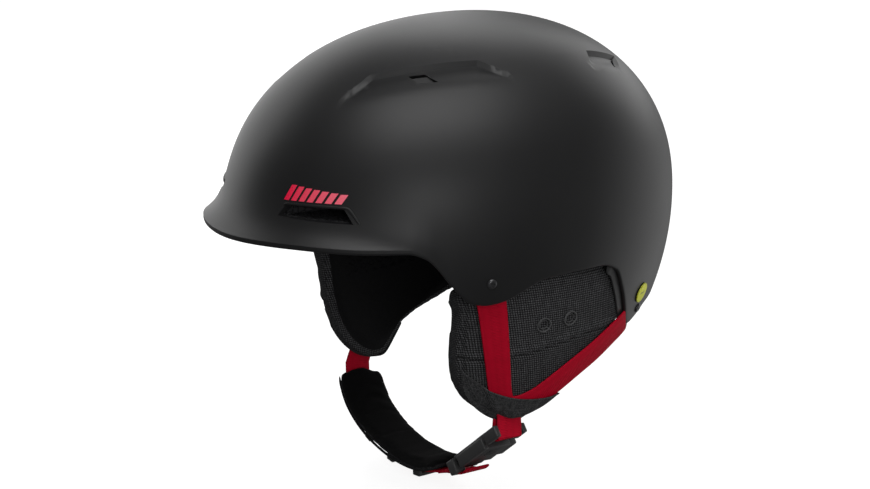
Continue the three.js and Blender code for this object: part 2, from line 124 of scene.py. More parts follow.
# Pocket over the pad's tip: its edges, its steps, and the row where its lower edge turns in
SLEEVE_TOP = [(-57.5, -80), (-50, -86), (-41, -92), (-29, -97.2), (-17, -99.7), (-6, -100.4), (1.5, -99.3)]
SLEEVE_FOOT = [
    (-55, -91), (-50, -99.5), (-43.5, -107), (-35, -113), (-25.5, -116), (-16.5, -115), (1, -100.4),
]
SLEEVE_COLUMNS, SLEEVE_ROWS, SLEEVE_TUCK = 48, 28, 23

# Cloth pieces: pressure of the filling, and the steps it works for
CLOTH_PRESSURE = 4
CLOTH_STEPS = 20
RAY_START, RAY_REACH = 30, 0.06

# Webbing
WEB_WIDTH = 17
WEB_THICK = 1.4
FRONT_STRAP = [(-51, -29), (-48.5, -39), (-43, -65), (-36, -92.5), (-31, -104)]
REAR_STRAP = [(48, -64.5), (35, -71), (23, -78), (9.5, -85.5), (-2.5, -93.5), (-12, -100.2), (-21, -104.2),
              (-29, -105)]

# Chin strap and its buckle
CHIN_LINE = [
    (37, -32.5, -154.5), (14, -35, -160.5), (-14, -36, -160), (-42, -35, -154.5), (-63, -34, -144),
    (-74, -33, -131), (-78, -31.5, -120),
]
FOLD_LINE = [
    (28, -33.6, -158), (36, -32.6, -155.3), (44, -31.8, -153.8), (50, -31.2, -151.8), (53.5, -31, -149),
]
CHIN_PAD_WIDTH = 30
CHIN_PAD_THICK = 7
BUCKLE_TOP = Vector((74, -26, -123))
BUCKLE_BOTTOM = Vector((39, -32, -153))

# Comfort pads: depth of their middles below the dome's skin, and their thickness
COMFORT_DEPTH, COMFORT_THICK = 25.9, 5.1
CROWN_PAD_DEPTH = 28.8

# Rear fit system
DIAL_HEIGHT = -84
CRADLE_BACK = edges_of("fit_cradle")[1].y + 1
SIDES = ((1, "left"), (-1, "right"))

# Studio: name, degrees round and up, distance and size in metres, brightness
SOFTBOXES = (
    ("roof_softbox", 70, 66, 1.5, (1.2, 1.1), 2.9),
    ("camera_softbox", 66, 7, 1.7, (0.6, 0.45), 4.6),
    ("back_wall", -88, 18, 1.8, (2.6, 1.7), 1.35),
    ("rear_softbox", -164, 24, 1.6, (1.0, 0.9), 1.8),
    ("far_roof_softbox", -134, 44, 1.6, (0.8, 0.7), 1.9),
)
CLOTH_FILL = ("cloth_fill", 72, 18, 1.6, (1.4, 1.1), 1.6)
BOUNCE_WAY = (176, -14)
CAMERA_WAY = (56.2, 14.1)
CAMERA_TARGET = Vector((0, -0.0247, -0.0282))
CAMERA_REACH = 1.083
CAMERA_LENS = 76.3


# ---------- curves and surfaces ----------

def smooth_step(value):
    share = min(max(value, 0), 1)
    return share * share * (3 - 2 * share)


def mix(low, high, share):
    return low + (high - low) * share


def evenly(points, count):
    """Points at equal steps along a fine line"""
    reach = [0.0]
    for a, b in zip(points, points[1:]):
        reach.append(reach[-1] + (b - a).length)
    found, at = [], 0
    for i in range(count):
        wanted = reach[-1] * i / (count - 1)
        while at < len(points) - 2 and reach[at + 1] < wanted:
            at += 1
        span = max(reach[at + 1] - reach[at], 1e-9)
        found.append(points[at].lerp(points[at + 1], min(max((wanted - reach[at]) / span, 0), 1)))
    return found


def through(points, count, closed=False):
    """Evenly spaced points on a smooth curve through some points"""
    knots = [Vector(p) if len(p) == 3 else Vector((0, *p)) for p in points]
    last = len(knots)
    fine = []
    for i in range(last if closed else last - 1):
        near = [(i + k) % last if closed else min(max(i + k, 0), last - 1) for k in (-1, 0, 1, 2)]
        a, b, c, d = (knots[k] for k in near)
        for step in range(16):
            t = step / 16
            fine.append(0.5 * (2 * b + (c - a) * t + (2 * a - 5 * b + 4 * c - d) * t * t
                               + (3 * b - a - 3 * c + d) * t * t * t))
    fine.append(fine[0] if closed else knots[-1])
    return evenly(fine, count)


def edge_height(stations, turn):
    """Height of an edge, eased between its stations, the same on both sides"""
    angle = 360 - turn if turn > 180 else turn
    last = len(stations) - 1
    i = next((k for k in range(last) if stations[k + 1][0] >= angle), last - 1)
    (a, low), (b, high) = stations[i], stations[i + 1]
    t = min(max((angle - a) / (b - a), 0), 1)

    def slope(k):
        if k in (0, last):
            return 0
        before = (stations[k][1] - stations[k - 1][1]) / (stations[k][0] - stations[k - 1][0])
        after = (stations[k + 1][1] - stations[k][1]) / (stations[k + 1][0] - stations[k][0])
        return 0 if before * after <= 0 else 2 * before * after / (before + after)

    span = b - a
    return (low * (2 * t ** 3 - 3 * t * t + 1) + high * (3 * t * t - 2 * t ** 3)
            + span * slope(i) * (t ** 3 - 2 * t * t + t) + span * slope(i + 1) * (t ** 3 - t * t))


def bulge(z, crown):
    if z > 0:
        return max(1 - (z / crown) ** DOME_POWER, 0) ** (1 / DOME_POWER)
    return 1 - TAPER * (z / CROWN) ** 2


def brim_flare(turn, z):
    angle = min(turn, 360 - turn)
    fade = 1 - smooth_step((angle - 15) / 45)
    above = max(z - edge_height(SHELL_RIM, turn) - 3, 0)
    return BRIM_FLARE * fade * math.exp(-above / 8)


def dome(turn, z, depth=0.0, flared=True):
    """Point on the dome, a depth below its skin"""
    s, c = math.sin(math.radians(turn)), math.cos(math.radians(turn))
    ahead = (FRONT if c > 0 else REAR) - depth
    power = (abs(s) / (HALF_WIDTH - depth)) ** PLAN_POWER + (abs(c) / ahead) ** PLAN_POWER
    radius = power ** (-1 / PLAN_POWER) * bulge(z, CROWN - depth)
    if flared:
        radius += brim_flare(turn, z)
    return Vector((radius * s, -radius * c, z))


def dome_axis(turn, z):
    here = dome(turn, z)
    return (dome(turn + 1, z) - here).cross(dome(turn, z + 1) - here).normalized()


def wall(side, y, z, depth=0.0):
    """Point on an ear pad's wall from its y and z"""
    share = 1 - PAD_TAPER * (z / CROWN) ** 2
    ahead = ((PAD_FRONT if y < 0 else PAD_REAR) - depth) * share
    inside = max(1 - (abs(y) / ahead) ** PLAN_POWER, 0) ** (1 / PLAN_POWER)
    return Vector((side * (PAD_HALF_WIDTH - depth) * share * inside, y, z))


def wall_axis(side, y, z):
    here = wall(side, y, z)
    return (wall(side, y + 1, z) - here).cross(wall(side, y, z + 1) - here).normalized() * side


# ---------- making pieces ----------

def sheet(columns, rows, place, span=(1, 1)):
    """A grid of quads, each point placed by two shares from 0 to 1, with UVs in millimetres"""
    grid = bmesh.new()
    uv = grid.loops.layers.uv.new("UVMap")
    bmesh.ops.create_grid(grid, x_segments=columns, y_segments=rows, size=0.5)
    for face in grid.faces:
        for loop in face.loops:
            flat = loop.vert.co
            loop[uv].uv = ((flat.x + 0.5) * span[0], (flat.y + 0.5) * span[1])
    for vert in grid.verts:
        vert.co = place(round((vert.co.x + 0.5) * columns) / columns, round((vert.co.y + 0.5) * rows) / rows)
    return grid


def block(size, at=(0, 0, 0), bevel=0.6, segments=3):
    """A box with rounded edges"""
    solid = bmesh.new()
    bmesh.ops.create_cube(solid, size=1)
    bmesh.ops.scale(solid, vec=size, verts=solid.verts)
    if bevel:
        bmesh.ops.bevel(solid, geom=solid.edges[:], offset=bevel, segments=segments, affect="EDGES",
                        profile=0.5, material=-1)
    bmesh.ops.translate(solid, vec=at, verts=solid.verts)
    return solid


def turned(profile, steps=48):
    """A closed form spun round Z from (radius, height) points"""
    solid = bmesh.new()
    verts = [solid.verts.new((radius, 0, height)) for radius, height in profile]
    edges = [solid.edges.new(pair) for pair in zip(verts, verts[1:])]
    bmesh.ops.spin(solid, geom=verts + edges, cent=(0, 0, 0), axis=(0, 0, 1), angle=math.tau,
                   steps=steps, use_merge=True)
    return solid


def ring(radius, thick, steps=40, sides=12):
    """A round ring about Z"""
    turns = [math.tau * i / sides for i in range(sides + 1)]
    return turned([(radius + thick * math.cos(a), thick * math.sin(a)) for a in turns], steps)


def basis(across, out, at):
    """Turns X to a width direction and Z to an outward one, then moves to a place"""
    x = across.normalized()
    z = (out - x * out.dot(x)).normalized()
    turn = Matrix((x, z.cross(x), z)).transposed().to_4x4()
    return Matrix.Translation(at) @ turn


def aimed(solid, at, axis):
    turn = Vector((0, 0, 1)).rotation_difference(axis).to_matrix().to_4x4()
    bmesh.ops.transform(solid, matrix=Matrix.Translation(at) @ turn, verts=solid.verts)
    return solid


def placed(solid, matrix):
    bmesh.ops.transform(solid, matrix=matrix, verts=solid.verts)
    return solid


def together(solids):
    """Several forms as one"""
    whole = bmesh.new()
    for solid in solids:
        part = bpy.data.meshes.new("part")
        solid.to_mesh(part)
        solid.free()
        whole.from_mesh(part)
        bpy.data.meshes.remove(part)
    return whole


def shade(mesh, crease):
    for face in mesh.polygons:
        face.use_smooth = True
    mesh.set_sharp_from_angle(angle=math.radians(crease))


def piece(name, solid, finish, body="helmet", stands_for=(), crease=38):
    """A finished mesh in metres that rides on a CAD body"""
    bmesh.ops.remove_doubles(solid, verts=solid.verts, dist=0.004)
    bmesh.ops.recalc_face_normals(solid, faces=solid.faces)
    bmesh.ops.scale(solid, vec=(MM, MM, MM), verts=solid.verts)
    mesh = bpy.data.meshes.new(name)
    solid.to_mesh(mesh)
    solid.free()
    shade(mesh, crease)
    made = bpy.data.objects.new(name, mesh)
    bpy.context.scene.collection.objects.link(made)
    made.data.materials.append(finish)
    if body:
        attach(made, body)
    if stands_for:
        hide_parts(*stands_for)
    return made


def settle(made, crease=180):
    """Applies a piece's modifiers"""
    bpy.context.view_layer.update()
    shaped = made.evaluated_get(bpy.context.evaluated_depsgraph_get())
    mesh = bpy.data.meshes.new_from_object(shaped)
    made.modifiers.clear()
    old, made.data = made.data, mesh
    bpy.data.meshes.remove(old)
    mesh.name = made.name
    shade(mesh, crease)


def stuffed(made, voxel, cap, levels):
    """Swells a closed cloth form with its filling, then refines it"""
    remesh = made.modifiers.new("remesh", "REMESH")
    remesh.mode = "VOXEL"
    remesh.voxel_size = voxel * MM
    settle(made)
    rest = [v.co.copy() for v in made.data.vertices]
    cloth = made.modifiers.new("cloth", "CLOTH")
    cloth.settings.use_pressure = True
    cloth.settings.uniform_pressure_force = CLOTH_PRESSURE
    cloth.settings.effector_weights.gravity = 0
    cloth.settings.quality = 5
    cloth.point_cache.frame_end = CLOTH_STEPS
    for step in range(1, CLOTH_STEPS + 1):
        bpy.context.scene.frame_set(step)
    settle(made)
    for vert, start in zip(made.data.vertices, rest):
        move = vert.co - start
        if move.length > cap * MM:
            vert.co = start + move.normalized() * cap * MM
    bpy.context.scene.frame_set(1)
    calm = made.modifiers.new("calm", "SMOOTH")
    calm.factor, calm.iterations = 0.5, 2
    subdivision = made.modifiers.new("fine", "SUBSURF")
    subdivision.levels = subdivision.render_levels = levels
    settle(made)


def cut(made, cutters):
    """Takes cutting forms out of a piece"""
    tool = piece("tool", together(cutters), made.data.materials[0], body=None)
    knife = made.modifiers.new("cut", "BOOLEAN")
    knife.operation, knife.solver, knife.object = "DIFFERENCE", "EXACT", tool
    settle(made, 32)
    bpy.data.objects.remove(tool)


# ---------- shader maths ----------

class Wire:
    """A shader value that can be used in arithmetic"""

    def __init__(self, tree, socket):
        self.tree, self.socket = tree, socket

    def use(self, operation, *others):
        node = self.tree.nodes.new("ShaderNodeMath")
        node.operation = operation
        for entry, value in zip(node.inputs, (self, *others)):
            if isinstance(value, Wire):
                self.tree.links.new(value.socket, entry)
            else:
                entry.default_value = value
        return Wire(self.tree, node.outputs[0])

    def __add__(self, other):
        return self.use("ADD", other)

    def __sub__(self, other):
        return self.use("SUBTRACT", other)

    def __rsub__(self, other):
        return (self * -1) + other

    def __mul__(self, other):
        return self.use("MULTIPLY", other)

    def __truediv__(self, other):
        return self.use("DIVIDE", other)

    def __pow__(self, other):
        return self.use("POWER", other)

    __radd__, __rmul__ = __add__, __mul__

    def fract(self):
        return self.use("FRACT")

    def floor(self):
        return self.use("FLOOR")

    def sine(self):
        return self.use("SINE")

    def size(self):
        return self.use("ABSOLUTE")

    def above(self, level):
        return self.use("GREATER_THAN", level)

    def least(self, other):
        return self.use("MINIMUM", other)

    def most(self, other):
        return self.use("MAXIMUM", other)

    def ramp(self, low, high):
        """0 below the low level, 1 above the high one"""
        return ((self - low) / (high - low)).most(0).least(1)


class Finish:
    """A procedural material"""

    def __init__(self, name, roughness=0.5, metallic=0.0, **numbers):
        self.material = bpy.data.materials.new(name)
        self.material.use_nodes = True
        self.tree = self.material.node_tree
        self.shader = self.tree.nodes["Principled BSDF"]
        for socket, number in {"Roughness": roughness, "Metallic": metallic, **numbers}.items():
            self.shader.inputs[socket].default_value = number
        self.where = self.node("ShaderNodeTexCoord").outputs["Object"]

    def soften(self):
        """Fibres that hardly glint"""
        self.shader.inputs["Specular IOR Level"].default_value = 0.12
        return self

    def node(self, kind, settings=None, **values):
        """A node with its settings first and then its sockets' values or links"""
        node = self.tree.nodes.new(kind)
        for key, value in (settings or {}).items():
            setattr(node, key, value)
        for key, value in values.items():
            self.feed(node.inputs[key.replace("_", " ")], value)
        return node

    def feed(self, entry, value):
        if isinstance(value, Wire):
            self.tree.links.new(value.socket, entry)
        elif isinstance(value, bpy.types.NodeSocket):
            self.tree.links.new(value, entry)
        else:
            entry.default_value = value

    def wire(self, socket):
        return Wire(self.tree, socket)

    def axes(self, socket=None, scale=1 / MM):
        """The three parts of a vector, in millimetres"""
        parts = self.node("ShaderNodeSeparateXYZ", Vector=socket or self.where)
        return [self.wire(parts.outputs[k]) * scale for k in range(3)]

    def stored(self, name):
        return self.node("ShaderNodeAttribute", {"attribute_name": name})

    def value(self, name):
        return self.wire(self.stored(name).outputs["Fac"])

    def flat(self):
        """The piece's own UV map, in millimetres"""
        parts = self.node("ShaderNodeSeparateXYZ", Vector=self.node("ShaderNodeUVMap").outputs["UV"])
        return [self.wire(parts.outputs[k]) for k in range(2)]

    def noise(self, size, detail=2.0, vector=None, stretch=(1, 1, 1)):
        """Noise from 0 to 1 with marks of about a size in millimetres"""
        scaled = self.node("ShaderNodeMapping", Vector=vector or self.where,
                           Scale=[k / (size * (1 if vector else MM)) for k in stretch])
        cloud = self.node("ShaderNodeTexNoise", Vector=scaled.outputs[0], Scale=1.0, Detail=detail)
        return self.wire(cloud.outputs["Fac"])

    def cells(self, size, feature="F1"):
        scaled = self.node("ShaderNodeMapping", Vector=self.where, Scale=[1 / (size * MM)] * 3)
        found = self.node("ShaderNodeTexVoronoi", {"feature": feature}, Vector=scaled.outputs[0], Scale=1.0)
        return self.wire(found.outputs["Distance"])

    def tint(self, low, high, share):
        """A colour between two by a share"""
        blend = self.node("ShaderNodeMix", {"data_type": "RGBA"})
        self.feed(blend.inputs[0], share)
        for k, colour in ((6, low), (7, high)):
            self.feed(blend.inputs[k], (*colour, 1) if isinstance(colour, tuple) else colour)
        return blend.outputs[2]

    def colour(self, value):
        self.feed(self.shader.inputs["Base Color"], (*value, 1) if isinstance(value, tuple) else value)

    def rough(self, value):
        self.feed(self.shader.inputs["Roughness"], value)

    def bump(self, height, deep):
        """Relief of a depth in millimetres"""
        relief = self.node("ShaderNodeBump", Height=height * (deep * MM), Distance=1.0, Strength=1.0)
        self.tree.links.new(relief.outputs[0], self.shader.inputs["Normal"])


def weave(a, b, pitch):
    """Height of a plain weave, 0 to 1, and a mask of the yarns that run along b"""
    u, v = a / pitch, b / pitch
    over = (((u.floor() + v.floor()) * 0.5).fract() * 2).above(0.5)
    across_u = (u.fract() * math.pi).sine()
    across_v = (v.fract() * math.pi).sine()
    warp = across_u * (0.55 + 0.45 * across_v)
    weft = across_v * (0.55 + 0.45 * across_u)
    return warp * over + weft * (1 - over), over


def facing_masks(finish):
    """Masks of the faces that look along X and along Y; the rest look along Z"""
    x, y, z = (part.size() for part in finish.axes(finish.stored("facing").outputs["Vector"], 1))
    along_x = (x - y.most(z)).ramp(-0.02, 0.02)
    along_y = (y - z).ramp(-0.02, 0.02) * (1 - along_x)
    return along_x, along_y


def on_faces(finish, pattern):
    """A flat pattern laid on a piece from the side that each face looks to"""
    x, y, z = finish.axes()
    along_x, along_y = facing_masks(finish)
    return (pattern(y, z) * along_x + pattern(x, z) * along_y + pattern(x, y) * (1 - along_x - along_y))


# ---------- materials ----------

def moulded_shell():
    made = Finish("matte_black_shell", roughness=0.42)
    grain = made.noise(0.35, 3)
    cloud = made.noise(34, 2)
    made.colour(made.tint((0.0062, 0.0062, 0.0067), (0.0085, 0.0085, 0.009), cloud))
    made.rough(0.4 + 0.05 * cloud + 0.05 * grain)
    made.bump(grain, 0.012)
    return made.material


def foam_beads():
    made = Finish("expanded_foam", roughness=0.85).soften()
    edge = made.cells(3.4, "DISTANCE_TO_EDGE")
    fine = made.noise(0.7, 3)
    groove = edge.ramp(0.0, 0.16)
    made.colour(made.tint((0.008, 0.008, 0.0085), (0.026, 0.026, 0.028), groove * (0.7 + 0.3 * fine)))
    made.bump(groove + 0.25 * fine, 0.25)
    return made.material


def brushed_lining(name="black_lining"):
    made = Finish(name, roughness=0.95).soften()
    fibre = made.noise(0.55, 4)
    soft = made.noise(7, 2)
    made.colour(made.tint((0.0042, 0.0042, 0.0045), (0.0155, 0.0155, 0.0165), fibre * 0.75 + soft * 0.25))
    made.bump(fibre, 0.16)
    return made.material


def pad_cloth():
    """Coarse charcoal weave outside, finer binding round the edge, black lining inside"""
    made = Finish("charcoal_pad_cloth", roughness=0.93).soften()
    reach, face = made.value("reach"), made.value("face")
    coarse = on_faces(made, lambda a, b: weave(a + 0.25 * b, b, 1.35)[0])
    fine = on_faces(made, lambda a, b: weave(a, b * 0.75, 0.75)[0])
    slub = made.noise(2.2, 3, stretch=(1, 1, 0.35))
    speck = made.noise(0.8, 2)
    binding = 1 - reach.ramp(1.2, 1.7)
    inside = (face * -1).ramp(0.05, 0.2) * reach.ramp(5.6, 6.1)
    yarn = coarse * (1 - binding) + fine * binding
    # Colour follows the weave's height: painted shade in the gaps between yarns and lighter yarn crowns,
    # times the yarns' own speck and slub tone
    light = (yarn ** 1.8 * (0.35 + 1.1 * speck) * (0.5 + 0.9 * slub)).least(1)
    outer = made.tint((0.0035, 0.0035, 0.0038), (0.125, 0.126, 0.13), light)
    edge = made.tint((0.009, 0.009, 0.0095), (0.105, 0.106, 0.11), light)
    cloth = made.tint(outer, edge, binding)
    fibre = made.noise(0.6, 4)
    lining = made.tint((0.0035, 0.0035, 0.0038), (0.012, 0.012, 0.0128), fibre)
    made.colour(made.tint(cloth, lining, inside))
    _, y, z = made.axes()
    lozenge = (((y + z * 0.5) / 7.5).fract() - 0.5).size() + (((z - y * 0.1) / 5.2).fract() - 0.5).size()
    patch = (1 - ((y + 14) / 30).size().ramp(0.8, 1.0)) * (1 - ((z + 47) / 15).size().ramp(0.8, 1.0))
    dents = (1 - lozenge.ramp(0.32, 0.42)) * patch * inside
    made.bump(yarn * (1 - inside) + fibre * 0.35 * inside - dents * 3.5, 0.42)
    return made.material


def sleeve_cloth():
    made = Finish("grey_slub_cloth", roughness=0.92).soften()
    _, y, z = made.axes()
    height, over = weave(y + 0.12 * z, z - 0.1 * y, 0.62)
    across = made.noise(1.0, 3, stretch=(1, 0.12, 1.1))
    upright = made.noise(1.0, 3, stretch=(1, 1.1, 0.12))
    slub = (across * over + upright * (1 - over)).ramp(0.36, 0.72)
    # Colour darker where the weave is low: painted shade between the yarns, times the slub yarns' own tone
    made.colour(made.tint((0.012, 0.012, 0.0125), (0.15, 0.151, 0.155), height * (0.15 + 0.85 * slub)))
    made.bump(height * (0.6 + 0.4 * slub), 0.22)
    return made.material


def dark_twill():
    """Cloth on the outside of the chin pad, with its lining inside"""
    made = Finish("dark_chin_cloth", roughness=0.94).soften()
    x, y, z = made.axes()
    inside = made.value("inside").ramp(0.02, 0.12)
    height, _ = weave(y + z * 0.3, x + z, 1.05)
    fibre = made.noise(0.55, 4)
    # Outer cloth darker where the weave is low: painted shade between the yarns, with the fibres' own tone
    cloth = made.tint((0.005, 0.005, 0.0055), (0.042, 0.042, 0.046), height * (0.4 + 0.6 * fibre))
    lining = made.tint((0.0018, 0.0018, 0.002), (0.0065, 0.0065, 0.007), fibre)
    made.colour(made.tint(cloth, lining, inside))
    made.bump(height * (1 - inside) + fibre * 0.5 * inside, 0.24)
    return made.material


def red_webbing():
    """Ribbed flat webbing with firm selvedges; its UVs run across and along in millimetres"""
    made = Finish("red_webbing", roughness=0.72).soften()
    across, along = made.flat()
    ribs = (along / 0.95 * math.pi).sine().size()
    twill = ((along / 0.95 + across / 1.9).fract() * math.pi).sine()
    yarn = (across / 0.7 * math.pi).sine().size()
    height = ribs * 0.45 + twill * 0.35 + yarn * 0.2
    cloud = made.noise(4.5, 3)
    speck = made.noise(0.5, 2)
    # Colour darker in the grooves between ribs: painted shade, mixed with the webbing's own random cloudy
    # and specked tone
    groove_shade_and_tone = (height * 0.55 + cloud * 0.3 + speck * 0.25).least(1)
    made.colour(made.tint((0.24, 0.001, 0.0085), (0.56, 0.0022, 0.024), groove_shade_and_tone))
    made.rough(0.62 + 0.2 * speck)
    made.bump(height, 0.14)
    return made.material


def moulded_plastic(name="grey_moulded_plastic", tone=0.022, rough=0.48):
    made = Finish(name, roughness=rough)
    grain = made.noise(0.4, 3)
    wear = made.noise(9, 3)
    made.colour(made.tint((tone * 0.8,) * 3, (tone * 1.25, tone * 1.25, tone * 1.3), wear))
    made.rough(rough - 0.05 + 0.12 * grain)
    made.bump(grain, 0.035)
    return made.material


def plated_steel():
    made = Finish("dark_plated_steel", roughness=0.32, metallic=0.9)
    wear = made.noise(1.2, 3)
    made.colour(made.tint((0.05, 0.05, 0.054), (0.16, 0.16, 0.165), wear))
    made.rough(0.26 + 0.2 * wear)
    made.bump(wear, 0.01)
    return made.material


def ring_print():
    """A plain yellow-green disc with a darker rim and three short generic dashes"""
    made = Finish("round_label_print", roughness=0.5)
    across, along = made.flat()
    radius = ((across * across) + (along * along)) ** 0.5
    rim = radius.ramp(5.6, 5.8)
    row = 1 - along.size().ramp(0.55, 0.7)
    dash = row * (1 - ((across / 2.1).fract() - 0.5).size().ramp(0.26, 0.32))
    dash = dash * (1 - across.size().ramp(2.9, 3.0))
    fade = made.noise(5, 2)
    body = made.tint((0.72, 0.76, 0.012), (0.86, 0.88, 0.02), fade)
    made.colour(made.tint(body, (0.045, 0.05, 0.008), (rim * 0.55 + dash * 0.9).least(1)))
    return made.material


def mark_paint():
    """Crimson that fades to pink across the row of bars"""
    made = Finish("crimson_to_pink_paint", roughness=0.4).soften()
    across, _ = made.flat()
    made.colour(made.tint((0.80, 0.003, 0.05), (0.92, 0.17, 0.23), (across / 30).least(1).most(0)))
    made.bump(made.noise(0.5, 2), 0.01)
    return made.material


def soft_rubber():
    made = Finish("black_rubber", roughness=0.7)
    grain = made.noise(0.5, 3)
    made.colour(made.tint((0.008, 0.008, 0.008), (0.018, 0.018, 0.0185), grain))
    made.bump(grain, 0.05)
    return made.material


def sewing_thread():
    made = Finish("charcoal_thread", roughness=0.8)
    twist = made.noise(0.3, 2)
    made.colour(made.tint((0.025, 0.025, 0.028), (0.075, 0.076, 0.082), twist))
    made.bump(twist, 0.05)
    return made.material


def pale_floor():
    made = Finish("pale_floor", roughness=0.5)
    cloud = made.noise(400, 2)
    made.colour(made.tint((0.155, 0.155, 0.157), (0.165, 0.165, 0.165), cloud))
    x, y, _ = made.axes()
    away = (x * x + y * y) ** 0.5
    made.feed(made.shader.inputs["Emission Color"], made.tint((0.9,) * 3, (1, 1, 1), away.ramp(260, 800)))
    made.shader.inputs["Emission Strength"].default_value = 1
    return made.material


SHELL = moulded_shell()
FOAM = foam_beads()
LINING = brushed_lining()
PAD = pad_cloth()
SLEEVE = sleeve_cloth()
CHIN = dark_twill()
RED = red_webbing()
PLASTIC = moulded_plastic()
BUCKLE = moulded_plastic("buckle_plastic", 0.034, 0.42)
STEEL = plated_steel()
LABEL = ring_print()
MARK = mark_paint()
RUBBER = soft_rubber()
THREAD = sewing_thread()
RING = moulded_plastic("grey_ring_plastic", 0.06, 0.38)


# ---------- shell and foam ----------

def shell_turns():
    """Turns round the shell, closer together where its edge is steep"""
    zones = ((0, 40, 1.6), (40, 60, 0.65), (60, 84, 1), (84, 102, 1.6), (102, 136, 0.65), (136, 180, 1.6))
    half = []
    for low, high, step in zones:
        count = round((high - low) / step)
        half += [low + (high - low) * i / count for i in range(count)]
    return half + [180] + [360 - turn for turn in reversed(half)]


def roof_height(share, crown, lowest=0):
    """Height of a row between the crown and a lowest angle above the widest level"""
    angle = math.radians(mix(90, lowest, share))
    return crown * math.sin(angle) ** (2 / DOME_POWER)


def shell_column(turn):
    """Heights and depths down the outside of the shell, round its rim and up the inside"""
    edge = edge_height(SHELL_RIM, turn)
    half = SHELL_THICK / 2
    shoulder = roof_height(1, CROWN, 20)
    rows = [(roof_height(i / 30, CROWN, 20), 0) for i in range(30)]
    rows += [(mix(shoulder, 0, i / 22), 0) for i in range(22)]
    rows += [(mix(0, edge + half, i / 20), 0) for i in range(20)]
    for i in range(7):
        lean = math.pi * i / 6
        rows.append((edge + half - half * math.sin(lean), half - half * math.cos(lean)))
    rows += [(mix(edge + half, 0, i / 6), SHELL_THICK) for i in range(1, 7)]
    for i in range(1, 17):
        z = mix(0, CROWN - ROOF_THICK, math.sin(math.pi / 2 * i / 16))
        rows.append((z, mix(SHELL_THICK, ROOF_THICK, smooth_step((z - 12) / 24))))
    return rows


# Roof recesses on the wearer's left: low front tip, upper front, upper rear and low rear tip, then sizes
ROOF_RECESSES = [
    (((36, -102.5, 75.6), (36, -91, 82.6), (60, -37, 89.1), (70, -27.6, 83.9)), 2.2, 3.2, 13),
    (((70.1, 33.4, 81.2), (57.7, 39.5, 88.1), (47, 69, 81.2), (60.5, 62, 76.6)), 2.3, 2.5, 12),
]
# Ports in their floors: four corners each
ROOF_PORTS = [
    ((56.2, -73.7, 78.3), (61.5, -63.1, 78.9), (53.1, -66.7, 83.2), (49, -74.7, 82.3)),
    ((53, 57.5, 80.9), (62.5, 52, 79.2), (60, 58.5, 76.5), (50.5, 64, 78.6)),
]


def mirrored(points, side):
    return [Vector((side * x, y, z)) for x, y, z in points]


def recess(shell, corners, side, deep, band, reach):
    """Sinks a floor into the roof behind a sloping wall on three sides; it rises to the skin on the last"""
    tips = mirrored(corners, side)
    middle = sum(tips, Vector()) / 4
    axis = (tips[2] - tips[0]).cross(tips[3] - tips[1]).normalized()
    if axis.z < 0:
        axis.negate()
    walls = []
    for start, end in zip(tips, tips[1:]):
        inward = axis.cross(end - start).normalized()
        if (middle - start).dot(inward) < 0:
            inward.negate()
        walls.append((start, inward))
    planes = [(start + inward * step, inward) for start, inward in walls for step in (0, band)]
    for (_, before), (corner, after) in zip(walls, walls[1:]):
        planes.append((corner, (before - after).normalized()))
    for corner, normal in planes:
        near = [f for f in shell.faces if (f.calc_center_median() - middle).length < 48
                and (f.calc_center_median() - middle).dot(axis) > -5.5]
        around = set(near) | {e for f in near for e in f.edges} | {v for f in near for v in f.verts}
        bmesh.ops.bisect_plane(shell, geom=list(around), dist=0.01, plane_co=corner, plane_no=normal)
    top, down = walls[1]
    for vert in shell.verts:
        offset = vert.co - middle
        if offset.length > 60 or offset.dot(axis) < -6:
            continue
        inner = min((vert.co - start).dot(inward) for start, inward in walls)
        if inner <= 0:
            continue
        away = (vert.co - top).dot(down) - band
        floor = deep * (1 - smooth_step((away - 0.15 * reach) / (0.95 * reach)))
        vert.co -= axis * min(deep * inner / band, floor)


def port_cutter(corners, side, deep, share=1.0):
    """A straight shaft down from the roof; a share below 1 keeps the part along its last two corners"""
    a, b, c, d = mirrored(corners, side)
    tips = [d.lerp(a, share), c.lerp(b, share), c, d]
    middle = sum(tips, Vector()) / 4
    axis = (tips[2] - tips[0]).cross(tips[3] - tips[1]).normalized()
    if axis.z < 0:
        axis.negate()
    solid = bmesh.new()
    rim = [solid.verts.new(tip + axis * 4) for tip in tips]
    lid = solid.faces.new(rim)
    pulled = bmesh.ops.extrude_face_region(solid, geom=[lid])["geom"]
    foot = [g for g in pulled if isinstance(g, bmesh.types.BMVert)]
    bmesh.ops.translate(solid, vec=-axis * (deep + 4), verts=foot)
    narrow = Matrix.Translation(middle) @ Matrix.Scale(0.92, 4) @ Matrix.Translation(-middle)
    bmesh.ops.transform(solid, matrix=narrow, verts=foot)
    return solid


VENT_LOW, VENT_HIGH = 11.5, 18


def vent_cutter(side):
    """A trapezoid tunnel behind a brow vent, from just ahead of the skin and narrowing inwards"""
    corners = ((31.5, VENT_LOW), (69, VENT_LOW - 1.6), (63.4, VENT_HIGH), (34.5, VENT_HIGH))
    solid = bmesh.new()
    rim = [solid.verts.new((side * x, dome(front_turn(x, z), z).y - 6, z)) for x, z in corners]
    lid = solid.faces.new(rim)
    pulled = bmesh.ops.extrude_face_region(solid, geom=[lid])["geom"]
    inner = [g for g in pulled if isinstance(g, bmesh.types.BMVert)]
    bmesh.ops.translate(solid, vec=(0, 46, 0), verts=inner)
    for vert in inner:
        vert.co = Vector((mix(side * 48, vert.co.x, 0.6), vert.co.y, mix(13, vert.co.z, 0.35)))
    return solid


def roof_cutters(deep):
    shafts = [port_cutter(corners, side, deep, 0.22) for corners in ROOF_PORTS for side, _ in SIDES]
    return shafts + [vent_cutter(side) for side, _ in SIDES]


